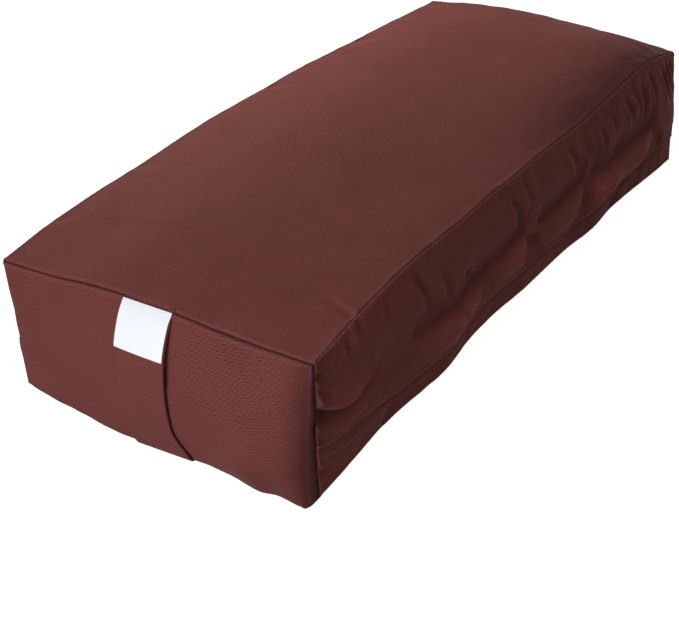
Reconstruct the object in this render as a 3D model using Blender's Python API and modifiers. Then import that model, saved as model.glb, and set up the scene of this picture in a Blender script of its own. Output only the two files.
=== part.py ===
"""Rectangular yoga bolster: a stuffed inner cushion in a zipped cotton cover with a carry handle.

Frame, in metres: X across, Y along, Z up. The origin is on the floor, under the middle of the
stuffed form. The handle end faces -Y and the long side with the zip faces +X.
"""

import math

import bmesh
import bpy
from mathutils import Vector

# The stuffed form, measured from corner to corner.
SEAM_LENGTH = 0.690
SEAM_WIDTH = 0.293
SEAM_HEIGHT = 0.123
BOTTOM_SEAM_LIFT = 0.004

# The crown of the top. Its seams arch up between the corners, and take up a part of it.
CROWN = 0.030
SIDE_SEAM_RISE = 0.017
END_SEAM_RISE = 0.008

# How far the ends and sides stand out between the seams, and what the bottom adds or takes off.
END_BULGE = 0.007
END_FOOT = 0.006
SIDE_BULGE = 0.006
SIDE_FOOT_DRAW = 0.005

# Shares of a half side over which the form runs straight before it turns to its corners.
END_STRAIGHT_SHARE = 0.70
SIDE_STRAIGHT_SHARE = 0.82
SIDE_SEAM_STRAIGHT_SHARE = 0.50
FLOOR_FLAT_SHARE = 0.80

# Powers of the curves: higher is flatter in the middle and steeper at the edge.
CROWN_POWER_ACROSS = 2.6
CROWN_POWER_ALONG = 5.5
CROWN_EDGE_POWER = 0.7
END_SAG_POWER = 0.80
SIDE_SAG_POWER = 0.90
HANDLE_SAG_POWER = 1.20
# Share of a quarter wave that spaces the grid, so its cells are shorter near the seams.
GRID_WAVE_SHARE = 0.85

# The form's height is three layers: only the upper one carries the crown, and only the lower one
# the flat floor, so the planes between them are level.
LEVEL_LAYER_SHARE = 1 / 3

# Cloth, and the clearances between layers that lie on each other.
COVER_CLOTH = 0.0010
LINER_CLOTH = 0.0006
LAYER_GAP = 0.0007
SEAM_GAP = 0.0004

# Handle: a doubled strap between the top and bottom seams of one end, and its label.
HANDLE_WIDTH = 0.048
HANDLE_CLOTH = 0.0022
HANDLE_STANDOFF = 0.0127
LABEL_SIDE_MARGIN = 0.00025
LABEL_LENGTH = 0.0385
LABEL_CLOTH = 0.0006
LABEL_TOP_SHARE = 0.98

# Zip: the folded lap of the upper side panel hides it over the whole side.
LAP_EDGE_HEIGHT = 0.041
ZIP_END_MARGIN = 0.083
ZIP_DROP_BEHIND_LAP = 0.016
TEETH_ROW_WIDTH = 0.0022
TEETH_THICKNESS = 0.0016
TEETH_SPLIT = 0.0016
TAPE_WIDTH = 0.0140
TAPE_CLOTH = 0.0005
PLATE = 0.0009
RUNNING_GAP = 0.0003
SLIDER_LENGTH = 0.0100
SLIDER_WIDTH = 0.0084
SLIDER_EDGE_RADIUS = 0.0003
POST_WIDTH = 0.0009
POST_LENGTH = 0.0025
BRIDGE_LENGTH = 0.0062
BRIDGE_WIDTH = 0.0018
BRIDGE_LEG = 0.0012
TAB_LENGTH = 0.0150
TAB_WIDTH = 0.0060
TAB_THICKNESS = 0.0008
TAB_BAR = 0.0010
TAB_SLOT_WIDTH = 0.0030
TAB_SLOT_LENGTH = 0.0032
TAB_TIP = 0.0015
TAB_ROOM = 0.0034
STOP_LENGTH = 0.0030

# The hollow that the inner cushion leaves for the zip.
RECESS_HALF_HEIGHT = 0.023
RECESS_FADE_HEIGHT = 0.020
RECESS_STRAIGHT_SHARE = 0.90
RECESS_DEPTH_SHARE_START = 0.80

# Grid cells of the cloth panels: across, along and up.
CELLS_ACROSS = 10
CELLS_ALONG = 20
CELLS_UP = 9
CELLS = (CELLS_ACROSS, CELLS_ALONG, CELLS_UP)
STRAP_CELLS = 18
NORMAL_STEP_SHARE = 0.001
ZIPPED_SIDE_SHARE = 1
HANDLE_END_SHARE = -1
WELD_DISTANCE = 0.000005

TOP_SEAM = BOTTOM_SEAM_LIFT + SEAM_HEIGHT
HALF_WIDTH = SEAM_WIDTH / 2
HALF_LENGTH = SEAM_LENGTH / 2
LINER_INSET = COVER_CLOTH + LAYER_GAP
FILL_INSET = LINER_INSET + LINER_CLOTH + LAYER_GAP
PANEL_EDGE = COVER_CLOTH + SEAM_GAP
ZIP_HEIGHT = LAP_EDGE_HEIGHT + ZIP_DROP_BEHIND_LAP
ZIP_HALF = HALF_LENGTH - ZIP_END_MARGIN


def clear_scene():
    for thing in list(bpy.data.objects):
        bpy.data.objects.remove(thing, do_unlink=True)


def new_collection(name):
    made = bpy.data.collections.new(name)
    bpy.context.scene.collection.children.link(made)
    return made


clear_scene()
BOLSTER = new_collection("rectangular_yoga_bolster")
CUTTERS = new_collection("cutters")
CUTTERS.hide_render = True


def finish(name, colour, roughness, metallic=0.0):
    """A material of its own for one piece."""
    material = bpy.data.materials.new(name)
    material.use_nodes = True
    shader = material.node_tree.nodes["Principled BSDF"]
    shader.inputs["Base Color"].default_value = (*colour, 1)
    shader.inputs["Roughness"].default_value = roughness
    shader.inputs["Metallic"].default_value = metallic
    material.diffuse_color = (*colour, 1)
    return material


COVER_RED_BROWN = (0.162, 0.050, 0.043)
LABEL_WHITE = (0.86, 0.87, 0.88)
MUSLIN = (0.62, 0.57, 0.48)
COTTON = (0.72, 0.69, 0.62)
TAPE_BROWN = (0.110, 0.036, 0.031)
TEETH_BROWN = (0.085, 0.030, 0.026)
METAL_BROWN = (0.120, 0.060, 0.050)


def window(share, straight_share):
    """1 over the straight run in the middle of a side, falling to 0 at its corners."""
    beyond = max(0.0, (abs(share) - straight_share) / (1 - straight_share))
    return 1 - beyond * beyond


def ramp(w):
    """0 up to the upper layer, rising to 1 at the top."""
    return max(0.0, (w - LEVEL_LAYER_SHARE) / (1 - LEVEL_LAYER_SHARE))


def sag(w, power):
    """How far a side stands out between its seams: 0 at both, most somewhere under half way up."""
    up_share = (w + 1) / 2
    return math.sin(math.pi * up_share**power)


def half_width(v, w):
    stands_out = SIDE_BULGE * sag(w, SIDE_SAG_POWER) - SIDE_FOOT_DRAW * (1 - w) / 2
    return HALF_WIDTH + window(v, SIDE_STRAIGHT_SHARE) * stands_out


def half_length(u, w):
    stands_out = END_BULGE * sag(w, END_SAG_POWER) + END_FOOT * (1 - w) / 2
    return HALF_LENGTH + window(u, END_STRAIGHT_SHARE) * stands_out


def underside(u, v):
    """Height of the bottom panel: flat on the floor, rising to its seam near the edges."""
    return BOTTOM_SEAM_LIFT * (1 - window(u, FLOOR_FLAT_SHARE) * window(v, FLOOR_FLAT_SHARE))


def upper_side(u, v):
    """Height of the crowned top panel, whose seams arch up between the corners."""
    seams = SIDE_SEAM_RISE * window(v, SIDE_SEAM_STRAIGHT_SHARE) + END_SEAM_RISE * (1 - u * u)
    dome = (1 - abs(u) ** CROWN_POWER_ACROSS) * (1 - abs(v) ** CROWN_POWER_ALONG)
    inside = CROWN - SIDE_SEAM_RISE - END_SEAM_RISE
    return TOP_SEAM + seams + inside * max(0.0, dome) ** CROWN_EDGE_POWER


def form_point(u, v, w, inset=0.0):
    """A point of the stuffed form. Each share runs from -1 to 1 between opposite faces."""
    height = BOTTOM_SEAM_LIFT + SEAM_HEIGHT * (w + 1) / 2 - inset * w
    height += ramp(w) * (upper_side(u, v) - TOP_SEAM)
    height += ramp(-w) * (underside(u, v) - BOTTOM_SEAM_LIFT)
    return Vector((u * (half_width(v, w) - inset), v * (half_length(u, w) - inset), height))


def height_share(height):
    """The share w of a height on the side of the form."""
    middle = BOTTOM_SEAM_LIFT + SEAM_HEIGHT / 2
    return (height - middle) / (SEAM_HEIGHT / 2)


# Depths of the zip's layers behind the lap's inner face, out to in.
SIDE_X = half_width(0, height_share(ZIP_HEIGHT))
LAP_INNER_X = SIDE_X - COVER_CLOTH
TAB_OUTER_X = LAP_INNER_X - TAB_ROOM
BRIDGE_TOP_X = TAB_OUTER_X + PLATE + RUNNING_GAP
TAB_INNER_X = TAB_OUTER_X - TAB_THICKNESS
TOP_WING_X = TAB_INNER_X - RUNNING_GAP
TEETH_X = TOP_WING_X - PLATE - RUNNING_GAP
TAPE_X = TEETH_X - TEETH_THICKNESS - RUNNING_GAP
BACK_WING_X = TAPE_X - TAPE_CLOTH - RUNNING_GAP
ZIP_BACK_X = BACK_WING_X - PLATE
ZIP_RECESS = SIDE_X - LINER_INSET - ZIP_BACK_X + RUNNING_GAP
BEHIND_LAP = COVER_CLOTH + LAYER_GAP


def recessed_point(u, v, w, inset):
    """A point of the inner cushion, whose zipped side gives way to the zip behind the lap."""
    point = form_point(u, v, w, inset)
    inwards = max(0.0, (u - RECESS_DEPTH_SHARE_START) / (1 - RECESS_DEPTH_SHARE_START))
    beyond = max(0.0, abs(point.z - ZIP_HEIGHT) - RECESS_HALF_HEIGHT) / RECESS_FADE_HEIGHT
    along_side = window(v, RECESS_STRAIGHT_SHARE)
    depth = BEHIND_LAP + (ZIP_RECESS - BEHIND_LAP) * along_side
    point.x -= inwards * max(0.0, 1 - beyond) * depth
    return point


def show(name, mesh_or_curve, material):
    """Puts a finished shape in the bolster's collection, as the sub-part of that name."""
    piece = bpy.data.objects.new(name, mesh_or_curve)
    BOLSTER.objects.link(piece)
    mesh_or_curve.materials.append(material)
    return piece


def thicken(piece, thickness, outwards=False):
    wall = piece.modifiers.new("cloth thickness", "SOLIDIFY")
    wall.thickness = thickness
    wall.offset = 1 if outwards else -1
    wall.use_even_offset = True
    wall.use_quality_normals = True


def cloth(name, cells, place, thickness, material, outwards=False):
    """A cloth panel: a grid on the unit square, laid on the form by place(a, b), then thickened."""
    grid = bmesh.new()
    bmesh.ops.create_grid(grid, x_segments=cells[0], y_segments=cells[1], size=1)
    for point in grid.verts:
        point.co = place(point.co.x, point.co.y)
    mesh = bpy.data.meshes.new(name)
    grid.to_mesh(mesh)
    grid.free()
    mesh.shade_smooth()
    piece = show(name, mesh, material)
    thicken(piece, thickness, outwards)
    return piece


def crowded(share):
    """Moves an even grid share outwards, so the cells near the seams are the short ones."""
    quarter_wave = GRID_WAVE_SHARE * math.pi / 2
    return math.sin(share * quarter_wave) / math.sin(quarter_wave)


def unit_block(cells):
    """A cube from -1 to 1 whose faces are grids of the given cells along X, Y and Z."""
    block = bmesh.new()
    bmesh.ops.create_cube(block, size=2)
    for axis, count in enumerate(cells):
        along = [
            edge
            for edge in block.edges
            if abs(edge.verts[0].co[axis] - edge.verts[1].co[axis]) > 1
        ]
        bmesh.ops.subdivide_edges(block, edges=along, cuts=count - 1, use_grid_fill=True)
    for point in block.verts:
        point.co.x = crowded(point.co.x)
        point.co.y = crowded(point.co.y)
    return block


def short_of_seam(share, half_side, edge=PANEL_EDGE):
    """A share of a half side, held back where the panel's edge stops short of its seam."""
    most = 1 - edge / half_side
    return max(-most, min(most, share))


def across(share):
    return short_of_seam(share, HALF_WIDTH)


def along(share):
    return short_of_seam(share, HALF_LENGTH)


def up(share):
    return short_of_seam(share, SEAM_HEIGHT / 2)


# Each side of the form, as the way that it faces.
TOP, BOTTOM = "+z", "-z"
HANDLE_END, PLAIN_END = "-y", "+y"
ZIPPED_SIDE, PLAIN_SIDE = "+x", "-x"


def is_on(side, face):
    """Whether a face of the unit block belongs to that side of the form."""
    lean = face.normal["xyz".index(side[1])]
    return lean > 0.5 if side[0] == "+" else lean < -0.5


def form_panel(name, sides, place, thickness, material):
    """Cloth over some sides of the form, laid by place(u, v, w) and thickened inwards."""
    block = unit_block(CELLS)
    others = [f for f in block.faces if not any(is_on(side, f) for side in sides)]
    bmesh.ops.delete(block, geom=others, context="FACES")
    for point in block.verts:
        point.co = place(*point.co)
    mesh = bpy.data.meshes.new(name)
    block.to_mesh(mesh)
    block.free()
    mesh.shade_smooth()
    thicken(show(name, mesh, material), thickness)


def cover_panels():
    twill = finish("cover twill", COVER_RED_BROWN, 0.9)

    def level(u, v, w):
        return form_point(across(u), along(v), w)

    def end(u, v, w):
        return form_point(across(u), v, up(w))

    def side(u, v, w):
        return form_point(u, along(v), up(w))

    form_panel("cover_top", [TOP], level, COVER_CLOTH, twill)
    form_panel("cover_bottom", [BOTTOM], level, COVER_CLOTH, twill.copy())
    form_panel("cover_end_with_handle", [HANDLE_END], end, COVER_CLOTH, twill.copy())
    form_panel("cover_end_plain", [PLAIN_END], end, COVER_CLOTH, twill.copy())
    form_panel("cover_side_plain", [PLAIN_SIDE], side, COVER_CLOTH, twill.copy())
    zipped_side(twill)


def zipped_side(twill):
    """The long side in two strips: the upper one laps over the zip, the lower one dips behind it."""
    w_lap = height_share(LAP_EDGE_HEIGHT)

    def upper(a, b):
        w = w_lap + (up(1) - w_lap) * (b + 1) / 2
        return form_point(ZIPPED_SIDE_SHARE, along(crowded(a)), w)

    strip_top = ZIP_HEIGHT - TEETH_SPLIT / 2 - TEETH_ROW_WIDTH - RUNNING_GAP
    strip_bottom = BOTTOM_SEAM_LIFT + PANEL_EDGE
    strip_x = TAPE_X + RUNNING_GAP + COVER_CLOTH
    dip = SIDE_X - strip_x
    dip_start = LAP_EDGE_HEIGHT - dip

    def lower(a, b):
        v = along(crowded(a))
        height = strip_bottom + (strip_top - strip_bottom) * (b + 1) / 2
        point = form_point(ZIPPED_SIDE_SHARE, v, height_share(height))
        dip_share = min(1.0, max(0.0, (height - dip_start) / dip))
        dip_share *= dip_share * (3 - 2 * dip_share)
        straight = window(v, SIDE_STRAIGHT_SHARE)
        sewn_x = straight * strip_x + (1 - straight) * (point.x - BEHIND_LAP)
        point.x += dip_share * (sewn_x - point.x)
        return point

    cloth("cover_side_upper", (CELLS_ALONG, CELLS_UP), upper, COVER_CLOTH, twill.copy())
    cloth("cover_side_lower", (CELLS_ALONG, CELLS_UP), lower, COVER_CLOTH, twill.copy())


def inner_cushion():
    """The sewn inner case, in three pieces, and the three layers of cotton inside it."""
    muslin = finish("muslin", MUSLIN, 0.9)
    cotton = finish("cotton batt", COTTON, 1.0)
    edge = LINER_CLOTH + LAYER_GAP

    def level(u, v, w):
        u = short_of_seam(u, HALF_WIDTH, edge)
        return recessed_point(u, short_of_seam(v, HALF_LENGTH, edge), w, LINER_INSET)

    def band(u, v, w):
        return recessed_point(u, v, short_of_seam(w, SEAM_HEIGHT / 2, edge), LINER_INSET)

    form_panel("liner_top", [TOP], level, LINER_CLOTH, muslin)
    form_panel("liner_bottom", [BOTTOM], level, LINER_CLOTH, muslin.copy())
    around = [HANDLE_END, PLAIN_END, ZIPPED_SIDE, PLAIN_SIDE]
    form_panel("liner_band", around, band, LINER_CLOTH, muslin.copy())

    middle = BOTTOM_SEAM_LIFT + SEAM_HEIGHT / 2
    half_layer = SEAM_HEIGHT * LEVEL_LAYER_SHARE / 2 - LAYER_GAP
    fill_batt("fill_batt_lower", None, middle - half_layer - LAYER_GAP, cotton)
    fill_batt("fill_batt_middle", middle - half_layer, middle + half_layer, cotton.copy())
    fill_batt("fill_batt_upper", middle + half_layer + LAYER_GAP, None, cotton.copy())


def fill_batt(name, low, high, material):
    """One layer of cotton: the stuffed form inside its case, cut level at the given heights."""
    batt = unit_block(CELLS)
    for point in batt.verts:
        point.co = recessed_point(*point.co, FILL_INSET)
    for height, outward in ((low, -1), (high, 1)):
        if height is None:
            continue
        cut = bmesh.ops.bisect_plane(
            batt,
            geom=[*batt.verts, *batt.edges, *batt.faces],
            plane_co=(0, 0, height),
            plane_no=(0, 0, outward),
            clear_outer=True,
        )
        rim = [part for part in cut["geom_cut"] if isinstance(part, bmesh.types.BMEdge)]
        bmesh.ops.holes_fill(batt, edges=rim)
    bmesh.ops.recalc_face_normals(batt, faces=batt.faces)
    mesh = bpy.data.meshes.new(name)
    batt.to_mesh(mesh)
    batt.free()
    show(name, mesh, material)


def outward_of(place, a, b):
    """Unit normal of a laid cloth at a, b, found from a small step each way."""
    step = NORMAL_STEP_SHARE
    sideways = place(a + step, b) - place(a - step, b)
    upwards = place(a, b + step) - place(a, b - step)
    return sideways.cross(upwards).normalized()


def handle_and_label():
    """The doubled strap bows away from the end panel, so a hand fits behind it."""

    def strap(a, b):
        w = up(1) * b
        point = form_point(0, HANDLE_END_SHARE, w)
        bow = (HANDLE_STANDOFF - LAYER_GAP) * sag(w, HANDLE_SAG_POWER)
        point.x = a * HANDLE_WIDTH / 2
        point.y -= LAYER_GAP + bow
        return point

    twill = finish("handle twill", COVER_RED_BROWN, 0.9)
    cloth("carry_handle", (4, STRAP_CELLS), strap, HANDLE_CLOTH, twill, outwards=True)

    label_share = 2 * LABEL_LENGTH / (SEAM_HEIGHT + HANDLE_STANDOFF)

    def label(a, b):
        place = LABEL_TOP_SHARE - label_share * (1 - b) / 2
        lift = HANDLE_CLOTH + LAYER_GAP
        point = strap(a * (1 - 2 * LABEL_SIDE_MARGIN / HANDLE_WIDTH), place)
        return point + outward_of(strap, a, place) * lift

    white = finish("woven label", LABEL_WHITE, 0.7)
    cloth("handle_label", (4, STRAP_CELLS // 2), label, LABEL_CLOTH, white, outwards=True)


def extruded(name, outline, half_depth, origin, turn, material):
    """A flat outline of 2D points, given depth both ways and turned into place."""
    curve = bpy.data.curves.new(name, "CURVE")
    curve.dimensions = "2D"
    curve.fill_mode = "BOTH"
    curve.extrude = half_depth
    for ring in outline:
        spline = curve.splines.new("POLY")
        spline.points.add(len(ring) - 1)
        spline.use_cyclic_u = True
        for point, place in zip(spline.points, ring):
            point.co = (*place, 0, 1)
    piece = show(name, curve, material)
    piece.location = origin
    piece.rotation_euler = turn
    return piece


def rectangle(x_low, x_high, y_low, y_high):
    return [(x_low, y_low), (x_high, y_low), (x_high, y_high), (x_low, y_high)]


UPRIGHT = (math.pi / 2, 0, 0)


def ribbon_outline(line, thickness):
    """The section of a tape: a line of points in X and Z, with its thickness added inwards."""
    back = [(x - thickness, z) for x, z in reversed(line)]
    return [line + back]


def zip_tapes_and_teeth():
    tape = finish("zip tape", TAPE_BROWN, 0.85)
    teeth = finish("zip teeth", TEETH_BROWN, 0.45)
    inner_edge = TEETH_SPLIT / 2
    row_far = inner_edge + TEETH_ROW_WIDTH

    # The lower tape hangs straight and is sewn to the lower strip.
    lower_edge = ZIP_HEIGHT - inner_edge
    lower_line = [(TAPE_X, lower_edge), (TAPE_X, lower_edge - TAPE_WIDTH)]
    lower_section = ribbon_outline(lower_line, TAPE_CLOTH)
    extruded("zip_tape_lower", lower_section, ZIP_HALF, (0, 0, 0), UPRIGHT, tape)

    # The upper tape turns out past the slider, to where it is sewn to the back of the lap.
    sewn_height = ZIP_HEIGHT + TAPE_WIDTH + inner_edge
    sewn_x = half_width(0, height_share(sewn_height)) - BEHIND_LAP
    upper_line = [
        (TAPE_X, ZIP_HEIGHT + inner_edge),
        (TAPE_X, ZIP_HEIGHT + SLIDER_WIDTH / 2 + RUNNING_GAP),
        (sewn_x, ZIP_HEIGHT + TAPE_WIDTH),
        (sewn_x, sewn_height),
    ]
    upper_section = ribbon_outline(upper_line, TAPE_CLOTH)
    extruded("zip_tape_upper", upper_section, ZIP_HALF, (0, 0, 0), UPRIGHT, tape.copy())

    for name, side in (("zip_teeth_upper", 1), ("zip_teeth_lower", -1)):
        low, high = sorted((ZIP_HEIGHT + side * inner_edge, ZIP_HEIGHT + side * row_far))
        row = [rectangle(TEETH_X - TEETH_THICKNESS, TEETH_X, low, high)]
        run = ZIP_HALF - STOP_LENGTH - RUNNING_GAP
        extruded(name, row, run, (0, 0, 0), UPRIGHT, teeth.copy())

    stop_y = ZIP_HALF - STOP_LENGTH / 2
    metal = finish("zip stop metal", METAL_BROWN, 0.35, 1.0)
    low, high = ZIP_HEIGHT - row_far, ZIP_HEIGHT + row_far
    both_rows = [rectangle(TEETH_X - TEETH_THICKNESS, TEETH_X, low, high)]
    extruded("zip_bottom_stop", both_rows, STOP_LENGTH / 2, (0, -stop_y, 0), UPRIGHT, metal)
    for name, side in (("zip_top_stop_upper", 1), ("zip_top_stop_lower", -1)):
        low, high = sorted((ZIP_HEIGHT + side * inner_edge, ZIP_HEIGHT + side * row_far))
        one_row = [rectangle(TEETH_X - TEETH_THICKNESS, TEETH_X, low, high)]
        extruded(name, one_row, STOP_LENGTH / 2, (0, stop_y, 0), UPRIGHT, metal.copy())


def plate(name, low, high, material):
    """A small bevelled box between two corners, its origin at its own middle."""
    low, high = Vector(low), Vector(high)
    box = bmesh.new()
    bmesh.ops.create_cube(box, size=1)
    bmesh.ops.scale(box, vec=high - low, verts=box.verts)
    mesh = bpy.data.meshes.new(name)
    box.to_mesh(mesh)
    box.free()
    piece = show(name, mesh, material)
    piece.location = (low + high) / 2
    edge = piece.modifiers.new("rounded edges", "BEVEL")
    edge.width = SLIDER_EDGE_RADIUS
    edge.segments = 1
    return piece


def joined(piece, other):
    """Welds another shape to a piece with a union, and hides it among the cutters."""
    BOLSTER.objects.unlink(other)
    CUTTERS.objects.link(other)
    other.hide_render = True
    other.display_type = "WIRE"
    union = piece.modifiers.new("joined " + other.name, "BOOLEAN")
    union.operation = "UNION"
    union.object = other


def slider_and_tab():
    """The slider runs on both rows of teeth, closed at +Y, and its tab swings in its bridge."""
    metal = finish("slider metal", METAL_BROWN, 0.35, 1.0)
    rest_y = ZIP_HALF - STOP_LENGTH - RUNNING_GAP - SLIDER_LENGTH / 2
    y_low, y_high = rest_y - SLIDER_LENGTH / 2, rest_y + SLIDER_LENGTH / 2
    z_low, z_high = ZIP_HEIGHT - SLIDER_WIDTH / 2, ZIP_HEIGHT + SLIDER_WIDTH / 2
    top_low, top_high = (TOP_WING_X - PLATE, y_low, z_low), (TOP_WING_X, y_high, z_high)
    slider = plate("zip_slider", top_low, top_high, metal)
    back = plate("back wing", (ZIP_BACK_X, y_low, z_low), (BACK_WING_X, y_high, z_high), metal)
    joined(slider, back)

    # The post between the wings, which parts the rows ahead of it.
    post = bmesh.new()
    bmesh.ops.create_cube(post, size=1)
    post_depth = TOP_WING_X - ZIP_BACK_X - PLATE
    bmesh.ops.scale(post, vec=(post_depth, POST_LENGTH, POST_WIDTH), verts=post.verts)
    post_mesh = bpy.data.meshes.new("post")
    post.to_mesh(post_mesh)
    post.free()
    post_piece = show("post", post_mesh, metal)
    post_piece.location = ((TOP_WING_X + ZIP_BACK_X) / 2, y_high - POST_LENGTH, ZIP_HEIGHT)
    joined(slider, post_piece)

    # The bridge over the top wing, in which the tab hangs.
    half_bridge = BRIDGE_LENGTH / 2
    foot_x = TOP_WING_X - PLATE / 2
    under_x = BRIDGE_TOP_X - PLATE
    arch = [
        (foot_x, -half_bridge),
        (BRIDGE_TOP_X, -half_bridge),
        (BRIDGE_TOP_X, half_bridge),
        (foot_x, half_bridge),
        (foot_x, half_bridge - BRIDGE_LEG),
        (under_x, half_bridge - BRIDGE_LEG),
        (under_x, BRIDGE_LEG - half_bridge),
        (foot_x, BRIDGE_LEG - half_bridge),
    ]
    bridge_curve = extruded(
        "bridge", [arch], BRIDGE_WIDTH / 2, (0, rest_y, ZIP_HEIGHT), (0, 0, 0), metal
    )
    bpy.context.view_layer.update()
    graph = bpy.context.evaluated_depsgraph_get()
    bridge_mesh = bpy.data.meshes.new_from_object(bridge_curve.evaluated_get(graph))
    welded = bmesh.new()
    welded.from_mesh(bridge_mesh)
    bmesh.ops.remove_doubles(welded, verts=welded.verts, dist=WELD_DISTANCE)
    bmesh.ops.recalc_face_normals(welded, faces=welded.faces)
    welded.to_mesh(bridge_mesh)
    welded.free()
    bridge = show("slider bridge", bridge_mesh, metal)
    bridge.matrix_world = bridge_curve.matrix_world
    bpy.data.objects.remove(bridge_curve, do_unlink=True)
    joined(slider, bridge)

    # The tab: its bar runs through the bridge, and its slot takes the bridge's near leg.
    half_bar = TAB_BAR / 2
    half_tab = TAB_WIDTH / 2
    slot_end = -half_bar - TAB_SLOT_LENGTH
    outer = [
        (half_tab, half_bar),
        (-half_tab, half_bar),
        (-half_tab, TAB_TIP - TAB_LENGTH),
        (TAB_TIP - half_tab, -TAB_LENGTH),
        (half_tab - TAB_TIP, -TAB_LENGTH),
        (half_tab, TAB_TIP - TAB_LENGTH),
    ]
    slot = rectangle(-TAB_SLOT_WIDTH / 2, TAB_SLOT_WIDTH / 2, slot_end, -half_bar)
    hinge = ((TAB_OUTER_X + TAB_INNER_X) / 2, rest_y, ZIP_HEIGHT)
    tab_metal = finish("pull tab metal", METAL_BROWN, 0.35, 1.0)
    turn = (0, math.pi / 2, 0)
    extruded("zip_pull_tab", [outer, slot], TAB_THICKNESS / 2, hinge, turn, tab_metal)


cover_panels()
inner_cushion()
handle_and_label()
zip_tapes_and_teeth()
slider_and_tab()
bpy.context.view_layer.update()
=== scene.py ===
"""Rectangular yoga bolster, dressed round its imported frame.

Frame, in metres: X across, Y along, Z up. The handle end faces -Y, the zipped side faces +X.
"""

import math

import bmesh
import bpy
import numpy as np
from mathutils import Matrix, Vector


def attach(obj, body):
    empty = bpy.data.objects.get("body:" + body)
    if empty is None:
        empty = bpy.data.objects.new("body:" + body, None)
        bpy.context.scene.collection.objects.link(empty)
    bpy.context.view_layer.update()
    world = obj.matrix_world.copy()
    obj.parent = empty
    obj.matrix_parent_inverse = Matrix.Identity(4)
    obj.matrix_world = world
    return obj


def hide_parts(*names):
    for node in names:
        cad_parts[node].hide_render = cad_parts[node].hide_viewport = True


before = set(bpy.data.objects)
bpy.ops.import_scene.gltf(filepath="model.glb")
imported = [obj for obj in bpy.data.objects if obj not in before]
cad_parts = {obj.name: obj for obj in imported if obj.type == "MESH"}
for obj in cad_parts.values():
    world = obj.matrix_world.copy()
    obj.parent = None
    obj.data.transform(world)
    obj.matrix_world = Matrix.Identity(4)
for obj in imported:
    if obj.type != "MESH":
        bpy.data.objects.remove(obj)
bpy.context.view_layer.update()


# The view: one camera at the height of someone standing near the handle end, a white floor, and
# soft lamps on the left, in front, on the zipped side and past the far end. The floor keeps the
# cushion's own shadow.

LENS_MM = 73.0
CAMERA_SPOT = (0.600, -1.004, 0.652)
CAMERA_TURN, CAMERA_DIP, CAMERA_ROLL = 33.27, 31.41, -1.44


def aim(turn, dip, roll):
    """The camera's axes as columns, from its turn round the upright, its dip and its roll."""
    turn, dip, roll = (math.radians(angle) for angle in (turn, dip, roll))
    back = Vector(
        (math.sin(turn) * math.cos(dip), -math.cos(turn) * math.cos(dip), math.sin(dip))
    )
    right = (-back).cross(Vector((0, 0, 1))).normalized()
    up = right.cross(-back)
    cos, sin = math.cos(roll), math.sin(roll)
    return Matrix((cos * right + sin * up, cos * up - sin * right, back)).transposed()


lens = bpy.data.cameras.new("camera")
lens.sensor_width = 36
lens.sensor_fit = "HORIZONTAL"
lens.lens = LENS_MM
camera = bpy.data.objects.new("camera", lens)
camera.matrix_world = Matrix.Translation(CAMERA_SPOT) @ aim(
    CAMERA_TURN, CAMERA_DIP, CAMERA_ROLL
).to_4x4()
bpy.context.scene.collection.objects.link(camera)
bpy.context.scene.camera = camera
bpy.context.scene.view_settings.view_transform = "Standard"


class Tone:
    """A socket in a material. A sum written with it adds the Math nodes that work it out."""

    def __init__(self, tree, socket=None):
        self.tree, self.socket = tree, socket

    def node(self, kind, settings=None, sockets=None, out=0):
        """Adds a node: first its settings, then the values or links of its sockets."""
        made = self.tree.nodes.new("ShaderNode" + kind)
        for name, value in (settings or {}).items():
            if name == "stops":
                for stop, (position, colour) in zip(made.color_ramp.elements, value):
                    stop.position, stop.color = position, (*colour, 1)
            else:
                setattr(made, name, value)
        for name, value in (sockets or {}).items():
            if isinstance(value, Tone):
                self.tree.links.new(value.socket, made.inputs[name])
            else:
                made.inputs[name].default_value = value
        return Tone(self.tree, made.outputs[out] if made.outputs else None)

    def math(self, operation, *values):
        return self.node("Math", {"operation": operation}, dict(enumerate(values)))

    def __add__(self, other):
        return self.math("ADD", self, other)

    def __sub__(self, other):
        return self.math("SUBTRACT", self, other)

    def __rsub__(self, other):
        return self.math("SUBTRACT", other, self)

    def __mul__(self, other):
        return self.math("MULTIPLY", self, other)

    __radd__ = __add__
    __rmul__ = __mul__


def bare(name):
    """An empty material tree, and the output that its shader goes to."""
    material = bpy.data.materials.new(name)
    material.use_nodes = True
    material.node_tree.nodes.clear()
    return material, Tone(material.node_tree)


def seen_directly(start):
    """1 for the camera, mirrors and glass, and 0 for the light that the floor gives back."""
    path = [
        start.node("LightPath", out=name)
        for name in ("Is Camera Ray", "Is Glossy Ray", "Is Transmission Ray")
    ]
    return path[0].math("MAXIMUM", path[0], path[0].math("MAXIMUM", path[1], path[2]))


FLOOR_HALF = 6.0
FLOOR_WHITE = (0.42, 0.42, 0.42, 1)
FLOOR_LIFT = 0.93

floor_mesh = bpy.data.meshes.new("floor")
sheet = bmesh.new()
bmesh.ops.create_grid(sheet, x_segments=1, y_segments=1, size=FLOOR_HALF)
sheet.to_mesh(floor_mesh)
sheet.free()
floor = bpy.data.objects.new("floor", floor_mesh)
bpy.context.scene.collection.objects.link(floor)
floor_finish, start = bare("white floor")
board = start.node("BsdfDiffuse", sockets={"Color": FLOOR_WHITE})
glow = start.node("Emission", sockets={"Strength": seen_directly(start) * FLOOR_LIFT})
both = start.node("AddShader", sockets={0: board, 1: glow})
start.node("OutputMaterial", sockets={"Surface": both})
floor_mesh.materials.append(floor_finish)

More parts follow.
